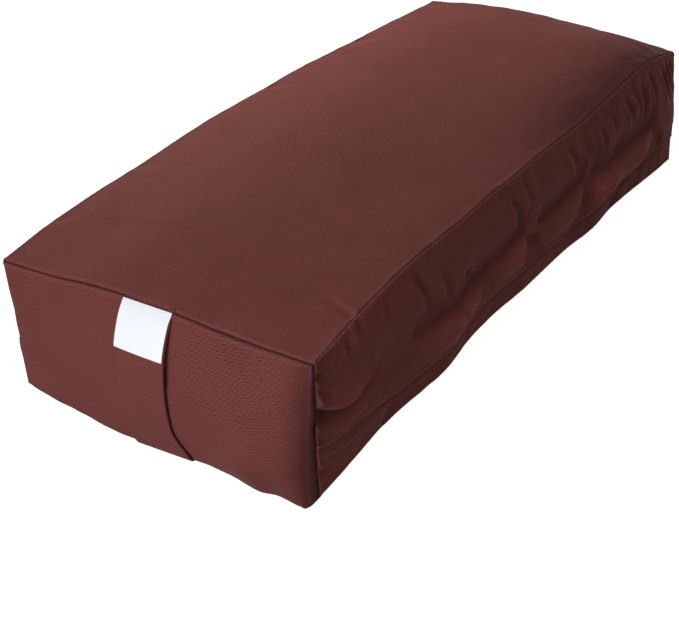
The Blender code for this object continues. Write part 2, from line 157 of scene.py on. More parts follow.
SKY_LEVEL = 0.04
world = bpy.data.worlds.new("studio")
world.use_nodes = True
world.node_tree.nodes.clear()
start = Tone(world.node_tree)
level = seen_directly(start) * (1 - SKY_LEVEL) + SKY_LEVEL
air = start.node("Background", sockets={"Color": (1, 1, 1, 1), "Strength": level})
start.node("OutputWorld", sockets={"Surface": air})
bpy.context.scene.world = world

# Each softbox: where it stands, where it points, its width, its watts and its tint.
for name, spot, target, width, watts, tint in (
    ("key softbox", (-0.72, 0.20, 0.60), (0, 0.04, 0.1), 0.5, 7.1, (1, 0.95, 0.90)),
    ("front softbox", (0.02, -1.62, 0.52), (0, -0.2, 0.08), 0.9, 16.3, (0.94, 1, 1.08)),
    ("fill on the zipped side", (0.95, -0.85, 0.90), (0.1, 0, 0.06), 0.6, 3.1, (1, 0.95, 0.82)),
    ("fill on the far end", (0.20, 1.80, 0.60), (0, 0.3, 0.08), 0.9, 6.0, (1, 1, 1)),
):
    lamp = bpy.data.lights.new(name, "AREA")
    lamp.shape = "SQUARE"
    lamp.size = width
    lamp.energy = watts
    lamp.color = tint
    stand = bpy.data.objects.new(name, lamp)
    facing = (Vector(target) - Vector(spot)).to_track_quat("-Z", "Y")
    stand.matrix_world = Matrix.Translation(spot) @ facing.to_matrix().to_4x4()
    bpy.context.scene.collection.objects.link(stand)


# The cover: top, bottom, both ends and the plain long side, cut from red-brown cotton twill and
# sewn together along their edges, so that each seam lies in a small groove. The stuffing makes
# the panels stand out between the seams, and draws the long top seams up into a low arch.

MM = 0.001
COVER_RED_BROWN = (0.156, 0.0405, 0.0342)
HALF_SIZES = np.array((0.1465, 0.3455, 0.0600))
# The two axes that lie in a panel, by the axis that it faces.
IN_PANEL = ([1, 2], [0, 2], [0, 1])
ON_PANEL = 1 - 1e-5

# Corners by their shares across, along and up, and the seams between them point by point, in mm.
CORNERS = {
    (-1, -1, 1): (-149.5, -348, 128.2), (1, -1, 1): (146.5, -346.5, 127.2),
    (1, 1, 1): (144.5, 345.5, 128.5), (-1, 1, 1): (-146.5, 345.5, 137),
    (1, -1, -1): (145, -344, 7.5), (-1, -1, -1): (-145.5, -346, 10.5),
    (1, 1, -1): (151.5, 345.5, 6.5), (-1, 1, -1): (-146.5, 345.5, 8),
}
SEAMS = {
    (0, -1, 1): [
        (-120, -347.5, 128.4), (-98, -347.2, 128.8), (-64, -346.8, 131.8), (-36, -346.6, 133),
        (21, -346.6, 131.8), (61, -346.6, 129), (99, -346.6, 127.5),
    ],
    (0, 1, 1): [
        (-126, 347.5, 138.5), (-90, 350, 141), (-50, 351, 142), (-13, 351, 141), (30, 350.5, 138),
        (65, 349.5, 135), (105, 348, 131.5),
    ],
    (0, -1, -1): [
        (-135, -347, 8.5), (-113, -348, 6), (-85, -349, 3.5), (-40, -353, 2.2), (35, -350, 2.2),
        (80, -353, 3), (102, -357.2, 3), (114, -354.5, 3), (126, -355.2, 3), (136.5, -356.6, 3),
        (140.5, -356.2, 3), (143, -351.2, 4.4),
    ],
    (0, 1, -1): [(-100, 350, 6), (0, 351, 5), (100, 350.5, 5)],
    (1, 0, 1): [
        (146.5, -276, 139), (146.5, -200, 144.5), (146.3, -140, 143), (146.6, -80, 144.6),
        (146.5, -30, 143), (146.3, 20, 143), (146.2, 80, 140.2), (146.5, 157, 142),
        (146.5, 217, 145.5), (146.2, 262, 145.7), (145.5, 300, 139.5),
    ],
    (-1, 0, 1): [
        (-147, -300, 137.2), (-146.5, -250, 141.2), (-146.3, -180, 144), (-146.5, -80, 148.8),
        (-146.5, 0, 148.5), (-146.5, 55, 148.8), (-146.5, 144, 145.5), (-146.5, 248, 141.5),
        (-146.5, 300, 139),
    ],
    (1, 0, -1): [
        (145.5, -318, 10), (143.3, -279, 10.5), (141.2, -242, 11), (142.1, -209, 11.5),
        (144.5, -172, 11), (145.2, -146, 10.5), (140.5, -102, 11), (139.5, -40, 11),
        (141.8, 0, 10.5), (143.8, 101, 10), (148, 149, 10), (146.2, 192, 10.5), (148, 245, 9.5),
        (152, 319, 8),
    ],
    (-1, 0, -1): [(-143, -200, 10), (-142, 0, 9.5), (-143.5, 200, 10)],
    (1, -1, 0): [
        (146.5, -348.5, 110), (146.5, -349, 92), (146.3, -347.8, 74), (145.8, -346.2, 52),
        (145.2, -344.6, 24),
    ],
    (-1, -1, 0): [
        (-148.8, -348.2, 104), (-146.8, -348.2, 83), (-144.6, -347.5, 55), (-143.4, -347, 31),
    ],
    (1, 1, 0): [(149, 347, 111), (150.8, 347.5, 86), (152, 347.5, 50), (152.5, 346.5, 21)],
    (-1, 1, 0): [(-148, 348, 100), (-148.5, 348.5, 60), (-147.5, 347, 25)],
}


def smooth(points, where, at):
    """Points of a smooth curve through the given ones, which stand at those places along it."""
    slope = np.gradient(points, where, axis=0)
    spot = np.clip(np.searchsorted(where, at, side="right") - 1, 0, len(where) - 2)
    span = (where[spot + 1] - where[spot])[:, None]
    t = (at - where[spot])[:, None] / span
    return (
        (1 + 2 * t) * (1 - t) ** 2 * points[spot]
        + t * (1 - t) ** 2 * span * slope[spot]
        + t * t * (3 - 2 * t) * points[spot + 1]
        - t * t * (1 - t) * span * slope[spot + 1]
    )


def seam_point(ends, share):
    """Points of the seam whose two fixed shares are given, with 0 for the axis it runs along."""
    first, last = (tuple(way if e == 0 else e for e in ends) for way in (-1, 1))
    points = np.array([CORNERS[first], *SEAMS[ends], CORNERS[last]]) * MM
    where = points[:, ends.index(0)]
    return smooth(points, where, where[0] + (where[-1] - where[0]) * (share + 1) / 2)


def patch(axis, side, shares):
    """Points of one panel as its four seams alone would hold it."""
    first, second = IN_PANEL[axis]
    total = np.zeros((len(shares), 3))
    for one, other in ((first, second), (second, first)):
        for way in (-1, 1):
            ends = [0, 0, 0]
            ends[axis], ends[one] = side, way
            pull = (1 + way * shares[:, one]) / 2
            total += pull[:, None] * seam_point(tuple(ends), shares[:, other])
    for way in (-1, 1):
        for other_way in (-1, 1):
            corner = [0, 0, 0]
            corner[axis], corner[first], corner[second] = side, way, other_way
            pull = (1 + way * shares[:, first]) * (1 + other_way * shares[:, second]) / 4
            total -= pull[:, None] * np.array(CORNERS[tuple(corner)]) * MM
    return total


def on_panel(shares, axis, side):
    """Which points lie on the panel that faces that side of an axis."""
    return shares[:, axis] * side > ON_PANEL


def from_edges(shares, axes):
    """How far points of a panel lie from its nearest edge, by the two axes in it."""
    return np.min((1 - np.abs(shares[:, axes])) * HALF_SIZES[axes], axis=1)


def dome(a, b, power_a, power_b):
    """1 in the middle of a panel, falling to 0 at its seams, and flatter by a higher power."""
    return (1 - np.abs(a) ** power_a) * (1 - np.abs(b) ** power_b)


def bump(place, middle, reach):
    """1 at its middle, dying away smoothly over its reach."""
    return np.exp(-(((place - middle) / reach) ** 2))


def eased(share):
    """0 up to a share of 0 and 1 from a share of 1, with a smooth slope between."""
    share = np.clip(share, 0, 1)
    return share * share * (3 - 2 * share)


def ripple(place, wave_lengths, seed):
    """A wandering wave from -1 to 1 along a seam, the same at each run."""
    chance = np.random.default_rng(seed)
    waves = [
        np.sin(2 * np.pi * (place / wave * chance.uniform(0.8, 1.2) + chance.uniform()))
        for wave in wave_lengths
    ]
    return sum(waves) / len(waves)


CROWDING = 0.80


def crowded(share):
    """Moves an even share outwards, so that the cells beside the seams are the short ones."""
    return np.sin(share * CROWDING * np.pi / 2) / np.sin(CROWDING * np.pi / 2)


def spread(share):
    """The even share that a crowded one came from."""
    return np.arcsin(share * np.sin(CROWDING * np.pi / 2)) / (CROWDING * np.pi / 2)


SETTLED = {}
SEWN_FAST = 4 * MM


def settled(shares):
    """How far the cloth has settled from its sewn shape, read smoothly from the trial's cells."""
    moved = np.zeros((len(shares), 3))
    for (axis, side), field in SETTLED.items():
        on = on_panel(shares, axis, side)
        taps = []
        for other, count in zip(IN_PANEL[axis], field.shape[:2]):
            at = (spread(shares[on, other]) + 1) / 2 * (count - 1)
            cell = np.clip(np.floor(at), 0, count - 2)
            t = at - cell
            weights = (
                (1 - t) ** 3 / 6, (3 * t**3 - 6 * t**2 + 4) / 6,
                (-3 * t**3 + 3 * t**2 + 3 * t + 1) / 6, t**3 / 6,
            )
            taps.append([
                (np.clip(cell + step, 0, count - 1).astype(int), weight)
                for step, weight in zip((-1, 0, 1, 2), weights)
            ])
        total = np.zeros((on.sum(), 3))
        for row, row_weight in taps[0]:
            for column, weight in taps[1]:
                total += (row_weight * weight)[:, None] * field[row, column]
        loose = np.minimum(1, from_edges(shares[on], IN_PANEL[axis]) / SEWN_FAST)
        moved[on] = total * loose[:, None]
    return moved


# How far the stuffing swells each panel out, in mm, and the powers of that dome. The top and
# the handle end stand out further beside the zipped side: at one corner, and in a roll.
SWELLS = {
    (2, 1): [(2.2, 8, 16), (4.4, 2, 3)],
    (1, -1): [(3.0, 10, 5), (10.8, 2.4, 2)],
    (1, 1): [(3.0, 10, 5), (5.0, 2.4, 2)],
    (0, -1): [(1.6, 8, 5), (2.6, 6, 2)],
    (0, 1): [(1.6, 8, 5), (2.6, 6, 2)],
    (2, -1): [],
}
FAR_CORNER_SWELL, TOP_ROLL = 4.0, 6.5
LOW_CORNER_SWELL, END_ROLL = 6.6, 6.6
FLAT_BOTTOM_FROM = 40 * MM

GROOVE_DEPTH = 1.4 * MM
GROOVE_REACH = 2.8 * MM
GROOVE_LIP = 1.4 * MM
LONG_SEAM_GROOVE = 0.30
# Beside a seam: the short puckers of its stitches, long waves, and the ridge of its allowance.
SHORT_PUCKER, SHORT_REACH, SHORT_WAVES = 0.22 * MM, 5 * MM, (0.007, 0.010, 0.015)
LONG_PUCKER, LONG_REACH, LONG_WAVES = 0.60 * MM, 20 * MM, (0.028, 0.045, 0.060)
RIDGE, RIDGE_PLACE, RIDGE_REACH = 0.45 * MM, 2.4 * MM, 1.3 * MM
STITCHED_FLAT = 3 * MM


def stuffed(shares):
    """Points of the stuffed cover by their shares across, along and up, before its folds."""
    points = np.zeros((len(shares), 3))
    counted = np.zeros(len(shares))
    for (axis, side), domes in SWELLS.items():
        here = on_panel(shares, axis, side)
        some = shares[here]
        held = patch(axis, side, some)
        a, b = some[:, IN_PANEL[axis]].T
        swell = sum(height * dome(a, b, *powers) for height, *powers in domes)
        if (axis, side) == (2, 1):
            # The top rolls over to the zipped side, most of all at the far corner.
            swell += FAR_CORNER_SWELL * bump(a, 1, 0.55) * bump(b, 1, 0.30) * dome(a, b, 5, 9)
            rolls = eased((a + 0.1) / 0.8) * eased((b + 0.2) / 0.6)
            swell += TOP_ROLL * rolls * dome(a, b, 7, 12)
        elif (axis, side) == (1, -1):
            # The handle end is fullest low down, and turns in late to its seam with that side.
            low = bump(a, 0.64, 0.30) * bump(b, -0.45, 0.75)
            swell += LOW_CORNER_SWELL * low * dome(a, b, 9, 5)
            rolls = eased((a - 0.1) / 0.6) * eased((b + 1) / 0.6)
            swell += END_ROLL * rolls * dome(a, b, 14, 6)
        held[:, axis] += side * MM * swell
        if (axis, side) == (2, -1):
            held[:, 2] *= 1 - eased(from_edges(some, [0, 1]) / FLAT_BOTTOM_FROM)
        points[here] += held
        counted[here] += 1
    points /= counted[:, None]

    # Each panel turns in to its seams, and the stitches draw it into small puckers beside them.
    sides = np.abs(shares) > ON_PANEL
    beyond = (1 - np.abs(shares)) * HALF_SIZES
    drawn = np.zeros_like(points)
    pucker = np.zeros_like(points)
    for axis in range(3):
        for other in IN_PANEL[axis]:
            on = sides[:, axis]
            near = beyond[:, other]
            long_seam = LONG_SEAM_GROOVE if axis != 1 and other != 1 else 1
            depth = GROOVE_DEPTH * long_seam
            groove = depth * np.maximum(0, 1 - near / (GROOVE_REACH * long_seam)) ** 2
            lip = depth * np.maximum(0, 1 - near / GROOVE_LIP) ** 2
            drawn[on, axis] = np.maximum(drawn[on, axis], groove[on])
            drawn[on, other] = np.maximum(drawn[on, other], lip[on])
            third = 3 - axis - other
            seed = 10 * axis + 100 * other
            for way in (-1, 1):
                some = on & (shares[:, other] * way > 0)
                place = points[some, third]
                reach = beyond[some, other]
                short = ripple(place, SHORT_WAVES, seed + way + 3)
                long = ripple(place, LONG_WAVES, seed + way + 7)
                rise = SHORT_PUCKER * short * np.exp(-reach / SHORT_REACH)
                rise += LONG_PUCKER * long * bump(reach, 0, LONG_REACH)
                rise *= np.minimum(1, reach / STITCHED_FLAT)
                rise += RIDGE * bump(reach, RIDGE_PLACE, RIDGE_REACH)
                pucker[some, axis] += rise
    return points - np.sign(shares) * (drawn - pucker * sides) + settled(shares)


def beside_line(places, line):
    """For points of a panel: how far from a drawn line, on its left or right, and how far on."""
    line = np.array(line) * MM
    steps = np.diff(line, axis=0)
    lengths = np.hypot(*steps.T)
    run = np.concatenate([[0], np.cumsum(lengths)])
    nearest = np.full(len(places), np.inf)
    offset = np.zeros(len(places))
    share = np.zeros(len(places))
    for start_point, step, length, begun in zip(line[:-1], steps, lengths, run):
        step = step / length
        away = places - start_point
        on = np.clip(away @ step, 0, length)
        gap = np.hypot(*(away - on[:, None] * step).T)
        left = step[0] * away[:, 1] - step[1] * away[:, 0]
        closer = gap < nearest
        nearest = np.where(closer, gap, nearest)
        offset = np.where(closer, np.where(left < 0, -gap, gap), offset)
        share = np.where(closer, (begun + on) / run[-1], share)
    return offset, share


def fold(places, line, depth, left, right, left_lip=0, right_lip=0, fade=(0.25, 0.25),
         lobe=0, lobe_rise=3, lobe_reach=20):
    """How far a fold drawn along a line moves a panel out: a valley, with a raised lip beside it.

    Left and right are the valley's half widths on either side of the line, seen along it. A lobe
    is cloth that stands out on its right: it comes out over its rise and falls away slowly. All
    of them are in mm, and the two fades are shares of the line, from its ends.
    """
    offset, share = beside_line(places, line)
    offset = offset / MM
    away = np.abs(offset) / np.where(offset > 0, left, right)
    lip = np.where(offset > 0, left_lip, right_lip)
    shape = lip * bump(away, 1.9, 0.9) - depth * bump(away, 0, 1)
    out = (1 - bump(offset, 0, lobe_rise)) * bump(offset, 0, lobe_reach)
    shape += np.where(offset > 0, 0, lobe * out)
    for from_end, over in zip((share, 1 - share), fade):
        if over:
            shape *= eased(from_end / over)
    return shape * MM


# Folds in mm, each with its line, its depth, its half widths left and right, its lips and fades.
# The top's are seen in X and Y, the ends' in X and Z, the side's in Y and Z.
TOP_FOLDS = [
    ([(-134.8, -295.7), (-121.7, -286.1), (-109.9, -281.2), (-79.3, -273.6), (-47, -268.8),
      (-14.8, -271.5), (17.5, -275.4), (54.2, -277.7), (85.2, -272), (114.4, -275.7),
      (132.6, -283.6)], 1.2, 6, 10, 0.5, 0.3),
    ([(114.5, -286.5), (124.6, -287.2), (134.6, -289.4), (143.5, -292)], 1.8, 3, 3.4, 0.8, 0.6,
      (0.35, 0)),
    ([(-12.4, -172), (37, -185.8), (88, -205.8), (125.1, -221.7)], 0.6, 8, 8, 0.3, 0.3),
    ([(14.6, -167.2), (77.4, -196.4), (135.7, -224.6)], 0.6, 8, 8, 0.3, 0.3),
    ([(79.3, -129.7), (114.8, -154.8), (144, -176)], 0.7, 8, 8, 0.3, 0.3, (0.3, 0.1)),
    ([(80, 305), (98, 299.7), (131.6, 284.9), (144, 276)], 1.4, 7, 9, 0.6, 0.6, (0.3, 0.1)),
    ([(80.8, 290), (128.1, 266.6), (144, 252)], 1.2, 8, 9, 0.6, 0.4, (0.3, 0.1)),
    ([(-146, -286), (-125, -279)], 2.2, 8, 8, 0, 0, (0, 0.8)),
    ([(-146, -179), (-120, -178)], 2.2, 9, 9, 0, 0, (0, 0.8)),
    ([(-146, 21), (-120, 18)], 2.4, 10, 10, 0, 0, (0, 0.8)),
    ([(-146, 180), (-115, 185)], 2.6, 12, 12, 0, 0, (0, 0.8)),
]
HANDLE_END_FOLDS = [
    ([(-97, 125.6), (-95.5, 104.3)], 0.9, 7, 7),
    ([(-50.8, 131), (-55.1, 103.9)], 0.9, 6, 6),
    ([(120, 90), (133.1, 88.6), (143.3, 87.1)], 1.3, 3.5, 4.5, 0, 0.5, (0.5, 0)),
    ([(118, 56), (135, 50), (145, 49)], 1.2, 4, 5, 0, 0.5, (0.5, 0)),
    ([(120, 68), (137, 62), (145, 62)], 0.8, 4, 4, 0, 0, (0.5, 0)),
    ([(110, 36), (130, 30), (144, 31)], 1, 5, 5, 0, 0.4, (0.5, 0)),
    ([(-148, 83), (-128, 81)], 1, 6, 6, 0, 0, (0, 0.7)),
]
PLAIN_SIDE_FOLDS = [
    ([(-295, 132), (-270, 100)], 1.6, 8, 8),
    ([(-180, 138), (-160, 104)], 1.6, 8, 8),
    ([(-80, 139), (-100, 108)], 1.3, 8, 8),
    ([(22, 140), (34, 104)], 1.7, 8, 8),
    ([(110, 138), (96, 108)], 1.3, 8, 8),
    ([(185, 135), (200, 98)], 1.7, 9, 9),
    ([(282, 132), (312, 92)], 1.6, 8, 8),
    ([(-335, 88), (-305, 78), (-270, 82)], 2.6, 6, 5, 1, 0, (0.1, 0.4)),
    ([(-250, 72), (-160, 64), (-60, 70), (40, 64), (140, 70), (240, 64)], 1.8, 10, 6, 0, 0.8,
      (0.15, 0.15)),
    ([(-120, 20), (-90, 45)], 1.2, 8, 8),
    ([(180, 18), (205, 46)], 1.2, 8, 8),
    ([(335, 60), (300, 55)], 2, 6, 6, 0, 0, (0.1, 0.6)),
]
PLAIN_END_FOLDS = [
    ([(-146, 90), (-118, 84)], 1.8, 5, 5, 0, 0, (0, 0.7)),
    ([(148, 82), (118, 76)], 1.8, 5, 5, 0, 0, (0, 0.7)),
    ([(-60, 134), (-54, 108)], 1, 7, 7),
    ([(48, 130), (54, 106)], 1, 7, 7),
    ([(146, 40), (120, 34)], 1.4, 5, 5, 0, 0, (0, 0.7)),
]
FOLD_FREE = 2 * MM


def folded(points, shares):
    """Presses the folds of the cover's four visible panels into them."""
    moved = points.copy()
    for folds, axis, side in (
        (TOP_FOLDS, 2, 1), (HANDLE_END_FOLDS, 1, -1),
        (PLAIN_END_FOLDS, 1, 1), (PLAIN_SIDE_FOLDS, 0, -1),
    ):
        on = on_panel(shares, axis, side)
        places = points[on][:, IN_PANEL[axis]]
        push = sum(fold(places, *one) for one in folds)
        inner = from_edges(shares[on], IN_PANEL[axis])
        moved[on, axis] += side * push * np.minimum(1, inner / FOLD_FREE)
    return moved


COVER_CELLS = (110, 250, 50)


def values_of(items, name, width=1, kind=np.float32):
    """The values of that name from one of a mesh's lists, as an array."""
    values = np.empty(len(items) * width, kind)
    items.foreach_get(name, values)
    return values if width == 1 else values.reshape(-1, width)


def stuffed_block(name, cells):
    """A closed block of even cells from -1 to 1, as a mesh, and the shares of its points."""
    block = bmesh.new()
    bmesh.ops.create_cube(block, size=2)
    for axis, count in enumerate(cells):
        along = [
            edge
            for edge in block.edges
            if abs(edge.verts[0].co[axis] - edge.verts[1].co[axis]) > 1
        ]
        bmesh.ops.subdivide_edges(block, edges=along, cuts=count - 1, use_grid_fill=True)
    mesh = bpy.data.meshes.new(name)
    block.to_mesh(mesh)
    block.free()
    mesh.shade_smooth()
    return mesh, crowded(values_of(mesh.vertices, "co", 3).astype(float))


# How the twill's ribs run: slanting over the level panels and the sides, level on the ends.
LEVEL_PANEL_SLANT = 131
END_PANEL_SLANT = 5
SIDE_PANEL_SLANT = 58


def keep_map(mesh, corners):
    """Keeps the flat place of each face corner, in metres, as the map of the weave."""
    mesh.uv_layers.new(name="weave").data.foreach_set("uv", corners.astype(np.float32).ravel())


def lay_weave(mesh, shares):
    """Gives each panel a flat map in metres, so its weave follows the cloth and turns at seams."""
    lengths = values_of(mesh.polygons, "loop_total", kind=np.int32)
    face_of = np.repeat(np.arange(len(lengths)), lengths)
    corner_shares = shares[values_of(mesh.loops, "vertex_index", kind=np.int32)]
    sums = np.zeros((len(lengths), 3))
    np.add.at(sums, face_of, corner_shares)
    middle = sums / lengths[:, None]
    axis = np.argmax(np.abs(middle), axis=1)[face_of]
    flat = corner_shares * HALF_SIZES
    across = np.where(axis == 0, flat[:, 1], flat[:, 0])
    up = np.where(axis == 2, flat[:, 1], flat[:, 2])
    slant = np.radians(np.choose(axis, (SIDE_PANEL_SLANT, END_PANEL_SLANT, LEVEL_PANEL_SLANT)))
    along_rib = across * np.cos(slant) + up * np.sin(slant)
    over_ribs = up * np.cos(slant) - across * np.sin(slant) + 0.7 * axis
    keep_map(mesh, np.stack([along_rib, over_ribs], axis=1))


LONG_SEAM_FINER = 1.25
NO_SEAM = 1.0


def from_seam(shares):
    """How far each point of a panel lies from its nearest seam; a long seam shows finer."""
    beyond = (1 - np.abs(shares)) * HALF_SIZES
    beyond[:, 1] = np.where(beyond[:, 1] < 1e-6, NO_SEAM, beyond[:, 1])
    ends = np.abs(shares[:, 1]) > ON_PANEL
    long = np.sort(beyond[:, (0, 2)], axis=1)
    to_long = np.where(ends, NO_SEAM, long[:, 1]) * LONG_SEAM_FINER
    to_ends = np.where(ends, long[:, 0], beyond[:, 1])
    return np.minimum(to_long, to_ends)


RIBS_ON_SIDES = 0.45


def ribs_shown(shares, points):
    """How plainly the ribs show: most on the handle's end and in the middle of the top, which
    shows wear.
    """
    x, y, z = points.T
    end = 0.34 + 0.62 * bump(x, 0.075, 0.050) * bump(z, 0.095, 0.040)
    top = 0.32 + 0.90 * bump(x, 0.010, 0.075) * bump(y, -0.060, 0.120)
    ends = np.abs(shares[:, 1]) > ON_PANEL
    return np.where(ends, end, np.where(on_panel(shares, 2, 1), top, RIBS_ON_SIDES))


END_PAINTED_SHADE, END_PAINTED_SHADE_REACH = 0.46, 15 * MM
TOP_PAINTED_SHADE, TOP_PAINTED_SHADE_REACH = 0.36, 32 * MM


def painted_shade_by_right_seams(shares):
    """Painted shade, below 0 for darker: where the handle end and the top's far half roll down to
    their right seams.
    """
    to_right = (1 - shares[:, 0]) * HALF_SIZES[0]
    end = END_PAINTED_SHADE * bump(to_right, 0, END_PAINTED_SHADE_REACH) * on_panel(shares, 1, -1)
    far = eased((shares[:, 1] + 0.1) / 0.5) * on_panel(shares, 2, 1)
    return -end - TOP_PAINTED_SHADE * far * bump(to_right, 0, TOP_PAINTED_SHADE_REACH)


def mark(mesh, name, values):
    """Keeps a number for each point, for a material to read."""
    mesh.attributes.new(name, "FLOAT", "POINT").data.foreach_set(
        "value", values.astype(np.float32)
    )


def place_points(mesh, points):
    """Moves the points of a mesh to their places."""
    mesh.vertices.foreach_set("co", points.astype(np.float32).ravel())
    mesh.update()


def show(name, mesh, *materials):
    """Puts a finished mesh into the scene as the piece of that name."""
    piece = bpy.data.objects.new(name, mesh)
    for material in materials:
        mesh.materials.append(material)
    bpy.context.scene.collection.objects.link(piece)
    return piece


def noise(place, scale, detail=2.0, size="2D", out=0):
    """Noise of that scale over a place, flat unless its size says 3D."""
    return place.node("TexNoise", {"noise_dimensions": size},
                      {"Vector": place, "Scale": scale, "Detail": detail}, out=out)


def split(place):
    """A place on the flat map as two: how far along it, and how far over it."""
    return (place.node("SeparateXYZ", sockets={0: place}, out=axis) for axis in (0, 1))


def wave(place, pitch):
    """A wave of that pitch over a place, from -1 to 1."""
    turns = place * (2 * math.pi / pitch)
    return turns.math("SINE", turns)


def marked(start, name):
    """What mark() kept under that name."""
    return start.node("Attribute", {"attribute_name": name}, out="Fac")


def tinted(start, colour, shade):
    """A colour made lighter or darker by a shade that varies."""
    return start.node("VectorMath", {"operation": "SCALE"}, {0: colour, "Scale": shade})


def surface(start, relief, strength, depth, sockets):
    """The surface of cloth, with its relief raised to that depth in metres."""
    raised = start.node("Bump", None, {"Strength": strength, "Distance": depth, "Height": relief})
    cloth = start.node("BsdfPrincipled", None, {**sockets, "Normal": raised})
    start.node("OutputMaterial", sockets={"Surface": cloth})


RIB_PITCH, CROSS_RIB_PITCH, BEAD_PITCH = 2.05 * MM, 3.0 * MM, 1.1 * MM
CROSS_RIB_TURN = (0.743, -0.669)
PAINTED_HIGHLIGHT_COLOUR = (0.19, 0.115, 0.100)
SEAM_PAINTED_SHADE = 0.34
SEAM_PAINTED_SHADE_FROM, SEAM_PAINTED_SHADE_TO = 0.4 * MM, 1.3 * MM


def twill(name, colour):
    """Cotton twill: fine ribs of uneven yarns, crossed by a weaker slant, with a little fuzz.

    It has painted shade in the seams' grooves, and a painted highlight along the ridges beside
    them and on a hem.
    """
    material, start = bare(name)
    map_of = start.node("UVMap", {"uv_map": "weave"})
    wander = start.node("VectorMath", {"operation": "SUBTRACT"},
                        {0: noise(map_of, 90.0, out=1), 1: (0.5,) * 3})
    place = start.node("VectorMath", {"operation": "MULTIPLY_ADD"},
                       {0: wander, 1: (0.0016,) * 3, 2: map_of})
    along, over = split(place)
    ribs = wave(over, RIB_PITCH)
    slants = wave(over * CROSS_RIB_TURN[0] + along * CROSS_RIB_TURN[1], CROSS_RIB_PITCH)
    beads = along.math("SINE", along * (2 * math.pi / BEAD_PITCH) + ribs * 1.2)
    patchy = start.node("MapRange", {"interpolation_type": "SMOOTHSTEP"},
                        {0: noise(map_of, 9.0), 1: 0.35, 2: 0.65, 3: 0.0, 4: 1.0})
    shown = marked(start, "ribs_shown")
    weave = ribs * (0.46 + patchy * 0.42) + slants * (0.44 - patchy * 0.22) + beads * 0.10
    weave = weave * shown * (0.1 + noise(map_of, 260.0) * 1.8)
    yarn = noise(map_of, 700.0)
    cloud = noise(map_of, 14.0, 3.0)
    # Painted shade: the colour darkens in the seams' grooves and along the strap's edges, by the
    # distance to the seam.
    crease = start.node("MapRange", sockets={
        0: marked(start, "from_seam"), 1: SEAM_PAINTED_SHADE_FROM, 2: SEAM_PAINTED_SHADE_TO, 3: SEAM_PAINTED_SHADE, 4: 1.0})
    shade = 1 + weave * 0.34 + (yarn - 0.5) * (0.24 + shown * 0.70) + (cloud - 0.5) * 0.22
    # Painted light and shade: lighter where a piece's mark lifts it, darker where it lowers it.
    shade = shade * crease * (marked(start, "painted_shading") + 1)
    colour_with_painted_shade = tinted(start, colour, shade)
    # Painted highlight: a pale colour added along the seams' ridges and on hems.
    wear_and_painted_highlight = tinted(start, PAINTED_HIGHLIGHT_COLOUR, marked(start, "painted_highlight"))
    colour_of = start.node("VectorMath", {"operation": "ADD"}, {0: colour_with_painted_shade, 1: wear_and_painted_highlight})
    surface(start, weave * 0.7 + yarn, 0.6, 0.00025, {
        "Base Color": colour_of, "Roughness": 0.92 - weave * 0.04, "Specular IOR Level": 0.12,
        "Sheen Weight": 0.02, "Sheen Roughness": 0.5, "Sheen Tint": (0.90, 0.55, 0.50, 1)})
    return material


# The cover is cut a little larger than its filling. Simulated as cloth, sewn fast at its seams and
# held to the filling by weak springs, it buckles into its own soft wrinkles.
SETTLING_CELLS = (38, 88, 18)
LOOSENESS = 0.022
HOLD = 0.10
SETTLING_FRAMES = 24
SETTLING_CAP = 4.5 * MM
SLACK_BY_PANEL = {
    # The stretched panels keep little of the slack; the sides, which it gathers on, keep most.
    (2, 1): 0.10, (2, -1): 0.0, (1, -1): 0.22, (1, 1): 0.85, (0, 1): 0.25, (0, -1): 1.0,
}


def settle(cells):
    """Runs the cloth on a trial cover and keeps how far each of its cells has moved."""
    mesh, shares = stuffed_block("trial cover", cells)
    before = stuffed(shares)
    place_points(mesh, before)
    trial = show("trial_cover", mesh)
    held = trial.vertex_groups.new(name="held")
    on_seam = (np.abs(shares) > ON_PANEL).sum(axis=1) > 1
    for spot, sewn in enumerate(on_seam):
        held.add([spot], 1.0 if sewn else HOLD, "REPLACE")
    cloth = trial.modifiers.new("cloth", "CLOTH")
    cloth.collision_settings.use_collision = False
    feel = cloth.settings
    feel.vertex_group_mass = "held"
    feel.pin_stiffness = 1.0
    feel.mass = 0.15
    feel.quality = 6
    feel.tension_stiffness = feel.compression_stiffness = 15
    feel.shear_stiffness = 5
    feel.bending_stiffness = 0.5
    feel.shrink_min = -LOOSENESS
    feel.effector_weights.gravity = 0
    for moment in range(1, SETTLING_FRAMES + 1):
        bpy.context.scene.frame_set(moment)
    shaped = trial.evaluated_get(bpy.context.evaluated_depsgraph_get()).data
    moved = values_of(shaped.vertices, "co", 3) - before
    far = np.linalg.norm(moved, axis=1)
    moved *= (np.tanh(far / SETTLING_CAP) * SETTLING_CAP / np.maximum(far, 1e-9))[:, None]
    bpy.context.scene.frame_set(1)
    bpy.data.objects.remove(trial)
    bpy.data.meshes.remove(mesh)
    fields = {}
    for (axis, side), slack in SLACK_BY_PANEL.items():
        first, second = IN_PANEL[axis]
        on = np.flatnonzero(on_panel(shares, axis, side))
        order = on[np.lexsort((shares[on, second], shares[on, first]))]
        shape = (cells[first] + 1, cells[second] + 1, 3)
        fields[axis, side] = moved[order].reshape(shape) * slack
    return fields


SETTLED.update(settle(SETTLING_CELLS))

# The zipped side of the cover steps in behind its two strips, and deeper where the zip runs.
ZIP_HEIGHT = 57 * MM
ZIP_HALF = 262 * MM
ZIP_POCKET_X = 138.2 * MM
STRIP_ROOM = 7.8 * MM
STRIP_ROOM_REACH = 4.5 * MM


